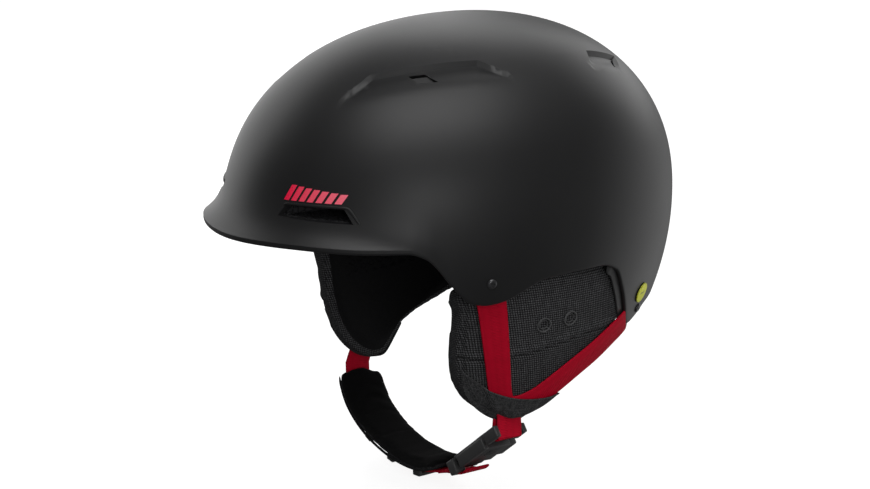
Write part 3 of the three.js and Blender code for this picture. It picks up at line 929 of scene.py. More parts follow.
def port_pockets():
    return [port_cutter(ROOF_PORTS[0], side, 1.1) for side, _ in SIDES]


def front_turn(x, z, depth=0.0):
    """Turn at which the dome's front has an x at a height"""
    low, high = -89.0, 89.0
    for _ in range(32):
        middle = (low + high) / 2
        if dome(middle, z, depth).x < x:
            low = middle
        else:
            high = middle
    return low


def build_shell():
    turns = shell_turns()
    columns = [shell_column(turn) for turn in turns]
    rows = len(columns[0]) - 1

    def place(u, v):
        column = round(u * (len(turns) - 1))
        z, depth = columns[column][round(v * rows)]
        return dome(turns[column], z, depth)

    shell = sheet(len(turns) - 1, rows, place)
    bmesh.ops.remove_doubles(shell, verts=shell.verts, dist=0.004)
    for corners, deep, band, reach in ROOF_RECESSES:
        for side, _ in SIDES:
            recess(shell, corners, side, deep, band, reach)
    made = piece("shell_skin", shell, SHELL, stands_for=("outer_shell",))
    cut(made, port_pockets())
    cut(made, roof_cutters(22))


def build_foam():
    columns, half = 120, 24

    def place(u, v):
        row = round(v * (2 * half + 1))
        outside = row <= half
        step = (row if outside else 2 * half + 1 - row) / half
        turn = u * 360
        edge = edge_height(FOAM_RIM, turn)
        depth = FOAM_OUTER if outside else FOAM_INNER
        if step < 0.6:
            z = roof_height(step / 0.6, CROWN - (ROOF_THICK + 0.8 if outside else depth), 0)
        else:
            z = mix(0, edge, (step - 0.6) / 0.4)
        if outside:
            depth = mix(FOAM_OUTER, ROOF_THICK + 0.8, smooth_step((z - 6) / 24))
        return dome(turn, z, depth, flared=outside)

    foam = sheet(columns, 2 * half + 1, place)
    made = piece("foam_liner", foam, FOAM, stands_for=("eps_liner",), crease=40)
    cut(made, roof_cutters(60))


def build_edge_flanges():
    """The inner lip that shows past the shell's rear lobe, between it and the ear pad"""
    for side, word in SIDES:
        stations = []
        for i in range(40):
            turn = mix(102.5, 121.5, i / 39)
            z = edge_height(SHELL_RIM, turn)
            at = dome(turn, z, SHELL_THICK + 0.7, False)
            ahead = dome(turn - 0.4, edge_height(SHELL_RIM, turn - 0.4), SHELL_THICK + 0.7, False)
            out, way = dome_axis(turn, z), (at - ahead).normalized()
            across = out.cross(way).normalized()
            stations.append([Vector((side * v.x, v.y, v.z)) for v in (at, across, out)])
        lip = band(stations, 8, 1.2, taper=3)
        piece(f"edge_flange_{word}", lip, PLASTIC, crease=60)


def build_vent_hoods():
    """A raised lip over each brow vent"""
    lip = [(34, 17.6), (36.5, 18.3), (46, 18.5), (56, 18.5), (62.8, 18.3), (65, 17.2), (67.8, 13.4),
           (70, 10.4)]
    for side, word in SIDES:
        stations = []
        for point in through(lip, 60):
            x, z = point.y, point.z
            turn = front_turn(x, z)
            at, out = dome(turn, z), dome_axis(turn, z)
            stations.append((Vector((side * at.x, at.y, at.z)), Vector((side * out.x, out.y, out.z))))
        along = [(b[0] - a[0]).normalized() for a, b in zip(stations, stations[1:])]
        along.append(along[-1])
        line = [(at + out * 0.15, out.cross(way).normalized(), out)
                for (at, out), way in zip(stations, along)]
        hood = band(line, 1.5, 1.1, taper=4)
        piece(f"vent_hood_{word}", hood, SHELL, crease=60)


# ---------- webbing and bands ----------

def band(stations, width, thick, taper=0, last_width=1.0):
    """A closed flat section with round edges along (place, across, outward) stations"""
    radius = min(thick, width) / 2 * 0.9
    section = []
    for corner, (sx, sy) in enumerate(((1, -1), (1, 1), (-1, 1), (-1, -1))):
        for step in range(4):
            lean = math.radians(90 * corner - 90 + 30 * step)
            section.append((sx * (width / 2 - radius) + radius * math.cos(lean),
                            sy * (thick / 2 - radius) + radius * math.sin(lean)))
    section.append(section[0])
    girth = 2 * (width + thick)
    length = sum((b[0] - a[0]).length for a, b in zip(stations, stations[1:]))
    last = len(stations) - 1

    def place(u, v):
        i = round(v * last)
        at, across, out = stations[i]
        x, y = section[round(u * 16)]
        narrow = mix(1, last_width, v) * (min(1, (min(i, last - i) + 0.4) / taper) ** 0.5 if taper else 1)
        return at + across * (x * narrow) + out * (y * narrow)

    solid = sheet(16, last, place, span=(girth, length))
    bmesh.ops.remove_doubles(solid, verts=solid.verts, dist=0.004)
    bmesh.ops.holes_fill(solid, edges=[e for e in solid.edges if e.is_boundary], sides=0)
    return solid


def crosswise(path, facing=1):
    """Stations along free webbing, whose width lies as near to Y as its path allows"""
    last = len(path) - 1
    stations = []
    for i, at in enumerate(path):
        way = (path[min(i + 1, last)] - path[max(i - 1, 0)]).normalized()
        across = (Vector((0, 1, 0)) - way * way.y).normalized()
        stations.append((at, across, (way.cross(across) * facing).normalized()))
    return stations


def on_pad(side, line, lift, count, pads, smooth=3):
    """Stations of webbing that lies on an ear pad along (y, z) points"""
    path = through(line, count)
    stations = []
    for i, point in enumerate(path):
        ahead, behind = path[min(i + 1, count - 1)], path[max(i - 1, 0)]
        out = wall_axis(side, point.y, point.z)
        at = wall(side, point.y, point.z)
        way = (wall(side, ahead.y, ahead.z) - wall(side, behind.y, behind.z)).normalized()
        across = out.cross(way).normalized()
        rise = []
        for k in (-0.35, 0, 0.35):
            start = at + across * (k * WEB_WIDTH) + out * RAY_START
            hit = pads[side].ray_cast(start * MM, -out, 0.05)
            rise.append(RAY_START - hit[3] / MM if hit[0] else -4)
        stations.append([at, across, out, max(rise)])
    for _ in range(smooth):
        heights = [s[3] for s in stations]
        for i, s in enumerate(stations):
            nearby = heights[max(i - 1, 0)] + heights[i] + heights[min(i + 1, count - 1)]
            s[3] = max(heights[i] * 0.6, nearby / 3)
    return [(at + out * (height + lift), across, out) for at, across, out, height in stations]


# ---------- ear pads ----------

def pillow(outline, place, columns=72, spread=1.0):
    """A closed pad inside a flat outline; place takes a flat point and a level, 1 outside to -1 inside"""
    edge = through(outline, columns + 1, closed=True)
    centre = sum(edge[:-1], Vector()) / columns
    face = [(0, 1), (0.2, 1), (0.4, 1), (0.6, 1), (0.78, 1),
            (0.9, 0.97), (0.96, 0.9), (0.99, 0.7), (1, 0.25)]
    rows = face + [(share, -level) for share, level in reversed(face)]

    def at(u, v):
        share, level = rows[round(v * (len(rows) - 1))]
        point = centre.lerp(edge[round(u * columns)], share * spread)
        return place(point.y, point.z, level)

    return sheet(columns, len(rows) - 1, at)


def flat_distance(y, z, line, closed=False):
    """Distance from a flat point to a line, and on which side of it the point is"""
    best, sign = 1e9, 1
    points = line + [line[0]] if closed else line
    for a, b in zip(points, points[1:]):
        ay, az, by, bz = a.y, a.z, b.y, b.z
        wy, wz = by - ay, bz - az
        t = min(max(((y - ay) * wy + (z - az) * wz) / max(wy * wy + wz * wz, 1e-9), 0), 1)
        gap = math.hypot(y - ay - wy * t, z - az - wz * t)
        if gap < best:
            best, sign = gap, 1 if wy * (z - az) - wz * (y - ay) > 0 else -1
    return best, sign


def store(made, name, values, kind="FLOAT"):
    """Keeps a value on each vertex for the materials"""
    held = made.data.attributes.new(name, kind, "POINT")
    field = "vector" if kind == "FLOAT_VECTOR" else "value"
    held.data.foreach_set(field, [k for v in values for k in (v if kind == "FLOAT_VECTOR" else (v,))])


def store_facing(made):
    store(made, "facing", [tuple(v.normal) for v in made.data.vertices], "FLOAT_VECTOR")


def pad_half(y):
    """Half of an ear pad's thickness, which thins towards its front edge"""
    return PAD_THICK / 2 * (1 - 0.12 * smooth_step((-y - 34) / 30))


def build_ear_pad(side, word):
    def place(y, z, level):
        half = pad_half(y)
        return wall(side, y, z, PAD_DEPTH + half - level * (half - 1.2))

    solid = pillow(PAD_OUTLINE, place, spread=0.985)
    made = piece(f"ear_pad_{word}_cloth", solid, PAD, stands_for=(f"ear_pad_{word}",),
                 crease=180)
    stuffed(made, 2.4, 1.6, 2)
    outline = through(PAD_OUTLINE, 73, closed=True)[:-1]
    seam = through(PAD_SEAM, 24)
    reach, face = [], []
    for vert in made.data.vertices:
        x, y, z = vert.co / MM
        gap, turn = flat_distance(y, z, outline, closed=True)
        middle = wall(side, y, z, PAD_DEPTH + pad_half(y))
        level = side * (x - middle.x) / pad_half(y)
        reach.append(gap * turn)
        face.append(level)
        if level < 0.15:
            continue
        sink = 0
        if -62 < y < 47:
            away, above = flat_distance(y, z, seam)
            away *= above
            sink += 1.5 * math.exp(-(away / 0.9) ** 2) - 0.9 * math.exp(-((away - 3.2) / 1.9) ** 2)
        for ring_y, ring_z in PAD_RINGS:
            near = math.hypot(y - ring_y, z - ring_z) / RING_HOLE
            sink += 1.1 * max(1 - near ** 4, 0) if near < 1 else 0.5 * math.exp(-((near - 1) / 0.3) ** 2)
        sink += 0.8 * math.exp(-((reach[-1] - 3.4) / 0.9) ** 2)
        hollow_y, hollow_z = REAR_STRAP_HOLLOW
        sink += 3.2 * math.exp(-(math.hypot(y - hollow_y, z - hollow_z) / 9) ** 2)
        vert.co -= wall_axis(side, y, z) * (sink * MM)
    inward = sum(1 for k in reach if k > 0) < len(reach) / 2
    store(made, "reach", [-k if inward else k for k in reach])
    store(made, "face", face)
    store_facing(made)
    return made


def stitches(name, path, axis_of, pitch, length, radius, body="helmet"):
    """Short thread stitches along a line of points"""
    total = sum((b - a).length for a, b in zip(path, path[1:]))
    spots = evenly(path, max(int(total / pitch), 2) + 1)
    threads = []
    for a, b in zip(spots, spots[1:]):
        middle, way = (a + b) / 2, (b - a).normalized()
        bead = bmesh.new()
        bmesh.ops.create_uvsphere(bead, u_segments=6, v_segments=5, radius=1)
        bmesh.ops.scale(bead, vec=(radius, length / 2, radius * 0.8), verts=bead.verts)
        out = axis_of(middle)
        threads.append(placed(bead, basis(way.cross(out), out, middle)))
    return piece(name, together(threads), THREAD, body=body, crease=180)


def build_pad_trim(side, word, pads):
    """Rings and seam stitches on an ear pad"""
    def lifted(y, z, lift):
        out = wall_axis(side, y, z)
        hit = pads[side].ray_cast((wall(side, y, z) + out * RAY_START) * MM, -out, RAY_REACH)
        return (hit[0] / MM if hit[0] else wall(side, y, z, 1)) + out * lift

    for i, (y, z) in enumerate(PAD_RINGS, 1):
        out = wall_axis(side, y, z)
        solid = together([aimed(ring(4.1, 0.42), lifted(y, z, 1.3), out),
                          aimed(ring(2.6, 0.28), lifted(y, z, 0.55), out)])
        piece(f"pad_ring_{word}_{i}", solid, RING, stands_for=(f"pad_eyelet_{word}_{i}",),
              crease=180)
    for row, shift in (("upper", 2.1), ("middle", 4.6)):
        line = [lifted(p.y, p.z + shift, 0.1) for p in through(PAD_SEAM[1:], 40)]
        stitches(f"pad_stitches_{row}_{word}", line, lambda at: wall_axis(side, at.y, at.z), 2.6, 1.9, 0.24)


def build_sleeve(side, word, covered):
    """The pocket over the tip of an ear pad, open along its top edge"""
    columns, rows = SLEEVE_COLUMNS, SLEEVE_ROWS
    top, foot = through(SLEEVE_TOP, columns + 1), through(SLEEVE_FOOT, columns + 1)

    def flat_place(column, row):
        a, b, share = top[column], foot[column], min(row / SLEEVE_TUCK, 1)
        return mix(a.y, b.y, share), mix(a.z, b.z, share)

    def rise_at(column, row):
        y, z = flat_place(column, row)
        out = wall_axis(side, y, z)
        hit = covered.ray_cast((wall(side, y, z) + out * RAY_START) * MM, -out, RAY_REACH)
        return max(RAY_START - hit[3] / MM, -3) if hit[0] else -3

    def eased(i, j):
        around = ((i + 1, j), (i - 1, j), (i, j + 1), (i, j - 1))
        total = sum(rises[min(max(a, 0), columns)][min(max(b, 0), rows)] for a, b in around)
        return max(rises[i][j] - 0.05, total / 4)

    rises = [[rise_at(column, row) for row in range(rows + 1)] for column in range(columns + 1)]
    for _ in range(6):
        rises = [[eased(i, j) for j in range(rows + 1)] for i in range(columns + 1)]

    def place(u, v):
        column, row = round(u * columns), round(v * rows)
        a, b = top[column], foot[column]
        y, z = flat_place(column, row)
        out = wall_axis(side, y, z)
        gape = (1 - smooth_step(v / 0.3)) * smooth_step(u / 0.07) * smooth_step((1 - u) / 0.1)
        at = wall(side, y, z) + out * (rises[column][row] + 0.5 + 0.5 * gape)
        tuck = max(row - SLEEVE_TUCK, 0) / (rows - SLEEVE_TUCK) * math.pi / 2
        down = (b - a).normalized()
        return at + Vector((0, down.y, down.z)) * 1.2 * math.sin(tuck) - out * 7 * (1 - math.cos(tuck))

    solid = sheet(columns, rows, place)
    made = piece(f"pad_sleeve_{word}", solid, SLEEVE, stands_for=(f"strap_sleeve_{word}",),
                 crease=180)
    thick = made.modifiers.new("thick", "SOLIDIFY")
    thick.thickness, thick.offset = 0.9 * MM, 1.0
    fine = made.modifiers.new("fine", "SUBSURF")
    fine.levels = fine.render_levels = 1
    settle(made)


def build_side_straps(side, word, pads):
    front = on_pad(side, FRONT_STRAP, WEB_THICK / 2 + 0.25, 40, pads)
    rear = on_pad(side, REAR_STRAP, WEB_THICK / 2 + 0.1, 64, pads, smooth=4)
    return [
        piece(f"front_webbing_{word}", band(front, WEB_WIDTH, WEB_THICK, last_width=0.74), RED,
              stands_for=(f"front_strap_{word}",), crease=50),
        piece(f"rear_webbing_{word}", band(rear, WEB_WIDTH - 2, WEB_THICK), RED,
              stands_for=(f"rear_strap_{word}",), crease=50),
    ]


def tree_of(pieces):
    """A search tree over several finished pieces"""
    whole = bmesh.new()
    for made in pieces:
        whole.from_mesh(made.data)
    tree = BVHTree.FromBMesh(whole)
    whole.free()
    return tree


def build_ear_pads():
    cushions = {side: build_ear_pad(side, word) for side, word in SIDES}
    pads = {side: tree_of([cushions[side]]) for side, _ in SIDES}
    for side, word in SIDES:
        build_pad_trim(side, word, pads)
        straps = build_side_straps(side, word, pads)
        build_sleeve(side, word, tree_of([cushions[side], *straps]))


# ---------- chin strap and buckle ----------

CHIN_PATH = through(CHIN_LINE, 121)
INTO_RIGHT_PAD = Vector((-75, -27, -105))


def chin_frame(share, offset=0.0):
    """Place, width direction and outward direction along the chin strap, from the buckle to the right"""
    i = min(max(share * 120, 0), 120)
    low = min(int(i), 119)
    at = CHIN_PATH[low].lerp(CHIN_PATH[low + 1], i - low)
    way = (CHIN_PATH[min(low + 3, 120)] - CHIN_PATH[max(low - 2, 0)]).normalized()
    across = (Vector((0, 1, 0)) - way * way.y).normalized()
    out = way.cross(across).normalized()
    return at + out * offset, across, out


def chin_stations(start, end, offset, count):
    return [chin_frame(mix(start, end, i / (count - 1)), offset) for i in range(count)]


def build_chin_pad():
    length = 168
    half = CHIN_PAD_WIDTH / 2
    low, high = 0.06, 0.985
    outline = [(0, -half + 6), (6, -half), (length / 2, -half), (length - 12, -half),
               (length - 3, -half + 7), (length, 0), (length - 3, half - 7),
               (length - 12, half), (length / 2, half), (6, half), (0, half - 6)]
    inset = WEB_THICK / 2 + 0.3 + CHIN_PAD_THICK / 2

    def place(along, wide, level):
        at, across, out = chin_frame(mix(low, high, along / length), -inset)
        return at + across * wide + out * (level * (CHIN_PAD_THICK / 2 - 1.1))

    solid = pillow(outline, place, columns=120, spread=0.985)
    made = piece("chin_cushion", solid, CHIN, body="chin_half", stands_for=("chin_pad",),
                 crease=180)
    stuffed(made, 1.7, 1.2, 1)
    frames = chin_stations(0, 1, 0, 90)
    inside = []
    for vert in made.data.vertices:
        at = vert.co / MM
        near = min(frames, key=lambda f: (f[0] - at).length_squared)
        inside.append(-vert.normal.dot(near[2]))
    store(made, "inside", inside)
    store_facing(made)
    for word, edge in (("front", -1), ("rear", 1)):
        rim = []
        for i in range(90):
            at, across, out = chin_frame(mix(low + 0.02, high - 0.05, i / 89), -(WEB_THICK / 2 + 0.4))
            rim.append((at + across * (edge * (half - 0.7)) + out * -0.9, across, out))
        piece(f"chin_piping_{word}", band(rim, 1.5, 1.5, taper=3), brushed_lining(f"piping_{word}"),
              body="chin_half", crease=180)


def build_chin_straps():
    main = chin_stations(0, 1, 0, 120)
    end, _, _ = main[-1]
    path = through([end, end.lerp(INTO_RIGHT_PAD, 0.5) + Vector((-0.8, 0, 0)), INTO_RIGHT_PAD], 24)
    main += crosswise(path)[1:]
    made = piece("chin_webbing", band(main, WEB_WIDTH, WEB_THICK), RED, body=None,
                 stands_for=("chin_strap", "lower_strap_right"), crease=50)
    rise = (INTO_RIGHT_PAD - end).normalized()
    (end + rise * 8) * MM
    (end - rise * 6) * MM
    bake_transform(made)
    tail = chin_stations(0.62, 0.84, WEB_THICK + 0.35, 24)
    lifted = [(at + out * (3.4 * max(i - 18, 0) / 6), across, out)
              for i, (at, across, out) in enumerate(tail)]
    piece("tail_webbing", band(lifted, WEB_WIDTH - 2, WEB_THICK), RED, body="chin_half",
          stands_for=("strap_tail",), crease=50)
    fold = crosswise(through(FOLD_LINE, 30))
    piece("webbing_fold", band(fold, WEB_WIDTH, WEB_THICK), RED, body="chin_half", crease=50)
    for i, share in enumerate((0.2, 0.4, 0.6), 1):
        at, across, out = chin_frame(share, 1.2)
        bar = together([
            block((WEB_WIDTH + 6, 6.4, 2.2), (0, 0, 1.2), 0.7),
            *[block((2.4, 6.4, 4.6), (edge * (WEB_WIDTH / 2 + 1.8), 0, -0.6), 0.7) for edge in (1, -1)],
            *[block((WEB_WIDTH - 1, 1.1, 0.8), (0, edge * 1.6, 2.3), 0.3, 2) for edge in (1, -1)],
        ])
        piece(f"keeper_{i}", placed(bar, basis(across, out, at)), PLASTIC, body="chin_half",
              stands_for=(f"strap_keeper_{i}",), crease=40)


def buckle_frame():
    along = (BUCKLE_BOTTOM - BUCKLE_TOP).normalized()
    across = (Vector((0, 1, 0)) - along * along.y).normalized()
    out = across.cross(along).normalized()
    if out.z > 0:
        out.negate()
    return basis(across, out, BUCKLE_TOP), along, out


def build_buckle():
    frame_of, along, out = buckle_frame()
    length = (BUCKLE_BOTTOM - BUCKLE_TOP).length
    bar = aimed(turned([(0, -9.5), (1.7, -9.5), (1.9, -9.2), (1.9, 9.2), (1.7, 9.5), (0, 9.5)], 24),
                Vector((0, 0.4, 0)), Vector((1, 0, 0)))
    base = together([
        block((21, 31, 3), (0, -22.5, -2.9), 0.8),
        block((9, 19, 3), (11.5, -18.5, -2.9), 0.8),
        block((3.4, 12, 6.8), (-10.9, 0.6, -0.2), 0.8),
        block((3.4, 10, 5.8), (10.9, -0.6, -0.4), 0.8),
        block((3.6, 26, 7.2), (-10.9, -20.5, 0.9), 0.8),
        block((3, 9, 4.4), (-10.7, -7, -1.6), 0.7),
        block((17, 3, 4.2), (0, -7.4, -1.2), 0.7),
        block((2.6, 7, 3.6), (10.4, -9, -2.2), 0.6),
        bar,
    ])
    piece("buckle_body", placed(base, frame_of), BUCKLE, stands_for=("buckle_base",),
          crease=35)
    cover = together([
        block((18.2, 21.5, 4.2), (1.4, -21.4, 1.5), 0.8),
        block((8, 15.5, 3.8), (11.4, -18.6, 1.4), 0.8),
        block((13, 4, 4.2), (-1, -33.4, 1.5), 0.7),
        block((7.6, 6.4, 8.6), (-8.6, -length + 5.4, 0.9), 0.9),
        block((19, 5, 6), (0.6, -length + 3.6, -1.6), 0.9),
        block((3, 12, 3), (9.2, -length + 9, -1.4), 0.7),
        *[block((9, 1.1, 0.6), (1.6, -15.5 - 2.7 * rib, 3.7), 0.22, 2) for rib in range(3)],
    ])
    piece("buckle_plate", placed(cover, frame_of), BUCKLE, body="chin_half", stands_for=("buckle_cover",),
          crease=35)
    build_buckle_loop(along, out)


def build_buckle_loop(along, out):
    """A loop of webbing round the buckle's bar and up into the left ear pad"""
    up, radius = -along, 3.1
    centre = BUCKLE_TOP + up * 0.4
    front, back = Vector((74.6, -24.5, -109)), Vector((71.5, -24.5, -109.5))
    loop = [front.lerp(centre + out * radius + up * 1.5, i / 15) for i in range(16)]
    for i in range(1, 12):
        lean = math.pi * i / 11
        turned_out, dropped = radius * math.cos(lean), radius * math.sin(lean)
        loop.append(centre + out * turned_out - up * dropped + up * 1.5 * (1 - i / 11))
    loop += [(centre - out * radius).lerp(back, i / 9) for i in range(1, 10)]
    stations = crosswise(evenly(loop, 60), facing=-1)
    piece("lower_webbing_left", band(stations, WEB_WIDTH - 0.5, WEB_THICK), RED,
          stands_for=("lower_strap_left",), crease=50)


# ---------- fasteners, label and mark ----------

def spot(turn, z, lift=0.0):
    return dome(turn, z, 0, flared=False) + dome_axis(turn, z) * lift


def build_rivets():
    profile = [(0, -3), (1.5, -3), (1.5, 0.1), (2.7, 0.1), (2.8, 0.35), (2.6, 0.8),
               (2.0, 1.15), (1.35, 1.25), (1.2, 1.2), (1.05, 0.5), (0, 0.45)]
    for side, word in SIDES:
        for name, turn, z in (("front", 61.2, -25), ("rear", 126, -60.5)):
            degrees = turn if side > 0 else 360 - turn
            head = aimed(turned(profile, 40), spot(degrees, z), dome_axis(degrees, z))
            piece(f"{name}_rivet_head_{word}", head, STEEL, stands_for=(f"{name}_rivet_{word}",),
                  crease=45)


def build_label():
    turn, z = 124, -50
    axis = dome_axis(turn, z)
    disc = bmesh.new()
    uv = disc.loops.layers.uv.new("UVMap")
    bmesh.ops.create_circle(disc, cap_ends=True, segments=56, radius=6.2)
    pulled = bmesh.ops.extrude_face_region(disc, geom=disc.faces[:])["geom"]
    raised = [g for g in pulled if isinstance(g, bmesh.types.BMVert)]
    bmesh.ops.translate(disc, vec=(0, 0, 0.45), verts=raised)
    for face in disc.faces:
        for loop in face.loops:
            loop[uv].uv = (loop.vert.co.x, loop.vert.co.y)
    top = [e for e in disc.edges if all(v.co.z > 0.3 for v in e.verts)]
    bmesh.ops.bevel(disc, geom=top, offset=0.2, segments=3, affect="EDGES", profile=0.5, material=-1)
    up = Vector((0, 0, 1))
    placed(disc, basis(up.cross(axis), axis, spot(turn, z, 0.35)))
    piece("round_label_disc", disc, LABEL, stands_for=("round_label",), crease=40)


def build_mark():
    """A row of slanted bars over the left brow vent"""
    bars = []
    count, width, low, high = 7, 2.9, 20.2, 28.2
    for i in range(count):
        start = 33.5 + i * 4.15
        tall = mix(1.0, 0.62, i / (count - 1))

        def place(u, v, start=start, tall=tall):
            z = mix(low, mix(low, high, tall), v)
            x = start + u * width + 0.32 * (z - low)
            turn = front_turn(x, z)
            return dome(turn, z, -0.14)

        bar = sheet(6, 12, place)
        uv = bar.loops.layers.uv.active
        for face in bar.faces:
            for loop in face.loops:
                loop[uv].uv = (loop.vert.co.x - 33, loop.vert.co.z)
        bars.append(bar)
    made = piece("slanted_bar_mark", together(bars), MARK, crease=180)
    thick = made.modifiers.new("thick", "SOLIDIFY")
    thick.thickness, thick.offset = 0.12 * MM, 1.0
    settle(made, 60)


# ---------- inside: comfort pads and rear fit system ----------

def build_comfort_pads():
    def rounded(y0, y1, z0, z1, ease):
        middle, a, b = (y0 + y1) / 2, y0 + ease * 1.6, y1 - ease * 1.6
        return [(y0, z0 + ease), (a, z0), (middle, z0), (b, z0), (y1, z0 + ease),
                (y1, z1 - ease), (b, z1), (middle, z1), (a, z1), (y0, z1 - ease)]

    def on_dome(turn, z, level):
        half = COMFORT_THICK / 2
        return dome(turn % 360, z, COMFORT_DEPTH + half - level * (half - 0.9), False)

    pads = (
        ("brow_cushion", "brow_pad", rounded(-55, 55, 1, 10, 3.5)),
        ("side_cushion_left", "side_pad_left", rounded(68, 112, 2, 32, 6)),
        ("side_cushion_right", "side_pad_right", rounded(248, 292, 2, 32, 6)),
    )
    for name, node, outline in pads:
        made = piece(name, pillow(outline, on_dome, spread=0.98), LINING, stands_for=(node,),
                     crease=180)
        stuffed(made, 2.6, 1.2, 1)
    roof = [(26 * math.cos(math.tau * i / 12), 34 * math.sin(math.tau * i / 12)) for i in range(12)]

    def on_roof(x, y, level):
        depth = CROWN_PAD_DEPTH - level * 1.5
        power = (abs(x) / (HALF_WIDTH - depth)) ** PLAN_POWER + (abs(y) / (REAR - depth)) ** PLAN_POWER
        share = min(power ** (1 / PLAN_POWER), 0.999)
        return Vector((x, y, (CROWN - depth) * (1 - share ** DOME_POWER) ** (1 / DOME_POWER)))

    made = piece("crown_cushion", pillow(roof, on_roof), LINING, stands_for=("crown_pad",),
                 crease=180)
    stuffed(made, 3, 1.2, 1)
    low_nape, high_nape = edges_of("nape_pad")
    middle = (low_nape.z + high_nape.z) / 2

    def on_nape(x, z, level):
        depth = REAR - high_nape.y
        at = dome(180 - math.degrees(math.asin(max(min(x / 62, 1), -1))) * 0.55, z, depth + 1.2, False)
        return Vector((x, at.y - 2 - (1 - level) * 1.5, z))

    outline = rounded(-24, 24, middle - 12.5, middle + 12.5, 6)
    made = piece("nape_cushion", pillow(outline, on_nape, spread=0.98), LINING, body="cradle",
                 stands_for=("nape_pad",), crease=180)
    stuffed(made, 2.6, 1.0, 1)


def build_fit_system():
    z, back = DIAL_HEIGHT, CRADLE_BACK
    cradle = together([
        block((56, 5.6, 30), (0, back - 4, z), 2.2, 4),
        block((30, 1.2, 2), (0, back - 0.9, z + 17.5), 0.4, 2),
    ])
    piece("cradle_housing", cradle, PLASTIC, body="cradle", stands_for=("fit_cradle",),
          crease=35)
    knob = turned([(0, -0.2), (12.6, -0.2), (13.3, 0.4), (13.3, 6.6), (12.2, 7.8), (9, 8), (8.4, 7.4),
                   (0, 7.2)], 72)
    for vert in knob.verts:
        reach = math.hypot(vert.co.x, vert.co.y)
        if reach > 11.5:
            turn = math.atan2(vert.co.y, vert.co.x)
            vert.co.xy *= 1 + 0.035 * math.cos(18 * turn)
    grip = block((2, 15, 1.6), (0, 0, 8), 0.6)
    dial = aimed(together([knob, grip]), Vector((0, back - 0.2, z)), Vector((0, 1, 0)))
    piece("dial_knob", dial, RUBBER, body="dial", stands_for=("fit_dial",), crease=40)
    for side, word in SIDES:
        rack = [(-8, back - 5.2), (30, back - 5.2), (44, 84), (58, 73), (68, 60)]
        path = through([(side * x, y, z + side * 4.9) for x, y in rack], 50)
        stations = []
        for i, at in enumerate(path):
            way = (path[min(i + 1, 49)] - path[max(i - 1, 0)]).normalized()
            up = Vector((0, 0, 1))
            stations.append((at, up, way.cross(up).normalized()))
        piece(f"arm_{word}_band", band(stations, 4, 1.5, taper=2), PLASTIC, body=f"arm_{word}",
              stands_for=(f"fit_arm_{word}",), crease=50)


def build_goggle_clip():
    low, high = edges_of("goggle_clip")
    barrel_y = high.y - 3.1
    top = high.z - 3.2
    width = high.x - low.x
    tongue = together([
        block((width, 2.6, top - low.z - 2), (0, barrel_y + 1.4, (low.z + top) / 2 - 1), 0.9, 4),
        block((width - 6, 1, 1.8), (0, barrel_y + 2.8, low.z + 7), 0.4, 2),
        block((width - 6, 1, 1.8), (0, barrel_y + 2.8, low.z + 11), 0.4, 2),
        aimed(turned([(0, -width / 2), (2.9, -width / 2), (3.1, 0.3 - width / 2), (3.1, width / 2 - 0.3),
                      (2.9, width / 2), (0, width / 2)], 32), Vector((0, barrel_y, top)), Vector((1, 0, 0))),
    ])
    piece("clip_tongue", tongue, PLASTIC, body="clip", stands_for=("goggle_clip",),
          crease=35)


# ---------- finish of the CAD nodes that stay, studio and camera ----------

def dress_kept_nodes():
    kept = {
        "slip_liner": PLASTIC, "hanger_bracket": PLASTIC, "fit_hanger": PLASTIC, "cradle_cover": PLASTIC,
        "goggle_clip_base": PLASTIC, "hanger_pin": STEEL, "goggle_clip_pin": STEEL,
        "buckle_magnet_base": STEEL, "buckle_magnet_cover": STEEL,
        **{f"slip_anchor_{i}": RUBBER for i in (1, 2, 3, 4)},
    }
    for node, finish in kept.items():
        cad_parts[node].data.materials.clear()
        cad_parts[node].data.materials.append(finish)


def direction(turn, rise):
    """Unit vector towards a place at degrees round from the front and above the horizon"""
    a, e = math.radians(turn), math.radians(rise)
    return Vector((math.sin(a) * math.cos(e), -math.cos(a) * math.cos(e), math.sin(e)))


def softbox(name, turn, rise, distance, size, glow):
    """A rectangular light that faces the helmet; glow is how bright its face is"""
    light = bpy.data.lights.new(name, "AREA")
    light.shape, light.size, light.size_y = "RECTANGLE", *size
    light.energy = glow * math.pi * size[0] * size[1]
    holder = bpy.data.objects.new(name, light)
    way = direction(turn, rise)
    holder.location = way * distance
    holder.rotation_mode = "QUATERNION"
    holder.rotation_quaternion = way.to_track_quat("Z", "Y")
    bpy.context.scene.collection.objects.link(holder)
    holder.visible_camera = False
    return holder


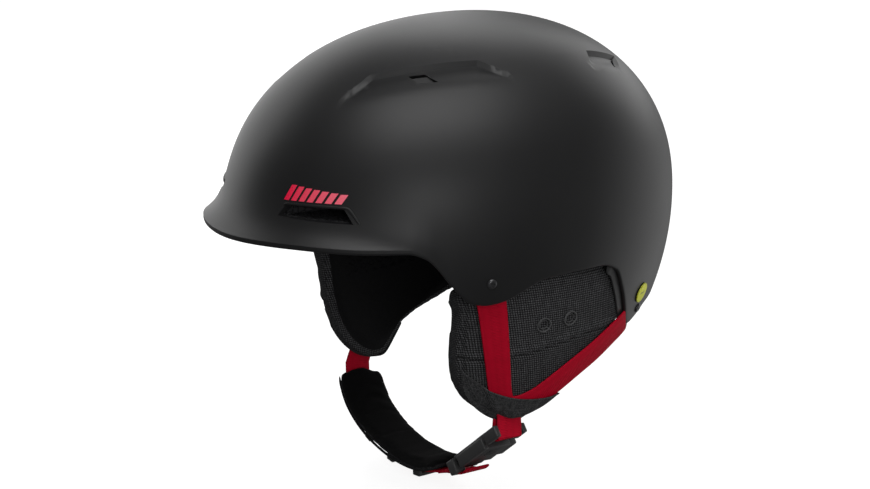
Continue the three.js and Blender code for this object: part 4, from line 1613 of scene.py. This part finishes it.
def build_studio():
    ground = bmesh.new()
    bmesh.ops.create_grid(ground, x_segments=2, y_segments=2, size=6000)
    bmesh.ops.translate(ground, vec=(0, 0, cad_low.z / MM - 2), verts=ground.verts)
    floor = piece("floor", ground, pale_floor(), body=None)
    floor.visible_glossy = floor.visible_diffuse = floor.visible_shadow = False
    world = bpy.data.worlds.new("studio")
    world.use_nodes = True
    nodes, links = world.node_tree.nodes, world.node_tree.links
    seen, lit = nodes["Background"], nodes.new("ShaderNodeBackground")
    seen.inputs["Color"].default_value = lit.inputs["Color"].default_value = (1, 1, 1, 1)
    toward = nodes.new("ShaderNodeVectorMath")
    toward.operation = "DOT_PRODUCT"
    toward.inputs[1].default_value = direction(*BOUNCE_WAY)
    links.new(nodes.new("ShaderNodeTexCoord").outputs["Generated"], toward.inputs[0])
    outer, inner = (math.cos(math.radians(degrees)) for degrees in (40, 16))
    bounce = Wire(world.node_tree, toward.outputs["Value"]).ramp(outer, inner)
    links.new((bounce * 0.8 + 0.1).socket, lit.inputs["Strength"])
    either, path = nodes.new("ShaderNodeMixShader"), nodes.new("ShaderNodeLightPath")
    links.new(path.outputs["Is Camera Ray"], either.inputs[0])
    links.new(lit.outputs[0], either.inputs[1])
    links.new(seen.outputs[0], either.inputs[2])
    links.new(either.outputs[0], nodes["World Output"].inputs["Surface"])
    bpy.context.scene.world = world
    for settings in SOFTBOXES:
        softbox(*settings)
    softbox(*CLOTH_FILL).visible_glossy = False
    bpy.context.scene.view_settings.view_transform = "Standard"


def build_camera():
    back = direction(*CAMERA_WAY)
    camera = bpy.data.cameras.new("camera")
    camera.sensor_width, camera.lens = 36, CAMERA_LENS
    camera.clip_start = 0.01
    holder = bpy.data.objects.new("camera", camera)
    holder.location = CAMERA_TARGET + back * CAMERA_REACH
    holder.rotation_mode = "QUATERNION"
    holder.rotation_quaternion = (-back).to_track_quat("-Z", "Y")
    bpy.context.scene.collection.objects.link(holder)
    bpy.context.scene.camera = holder


build_shell()
build_foam()
build_vent_hoods()
build_edge_flanges()
build_ear_pads()
build_chin_pad()
build_chin_straps()
build_buckle()
build_rivets()
build_label()
build_mark()
build_comfort_pads()
build_fit_system()
build_goggle_clip()
dress_kept_nodes()
build_studio()
build_camera()
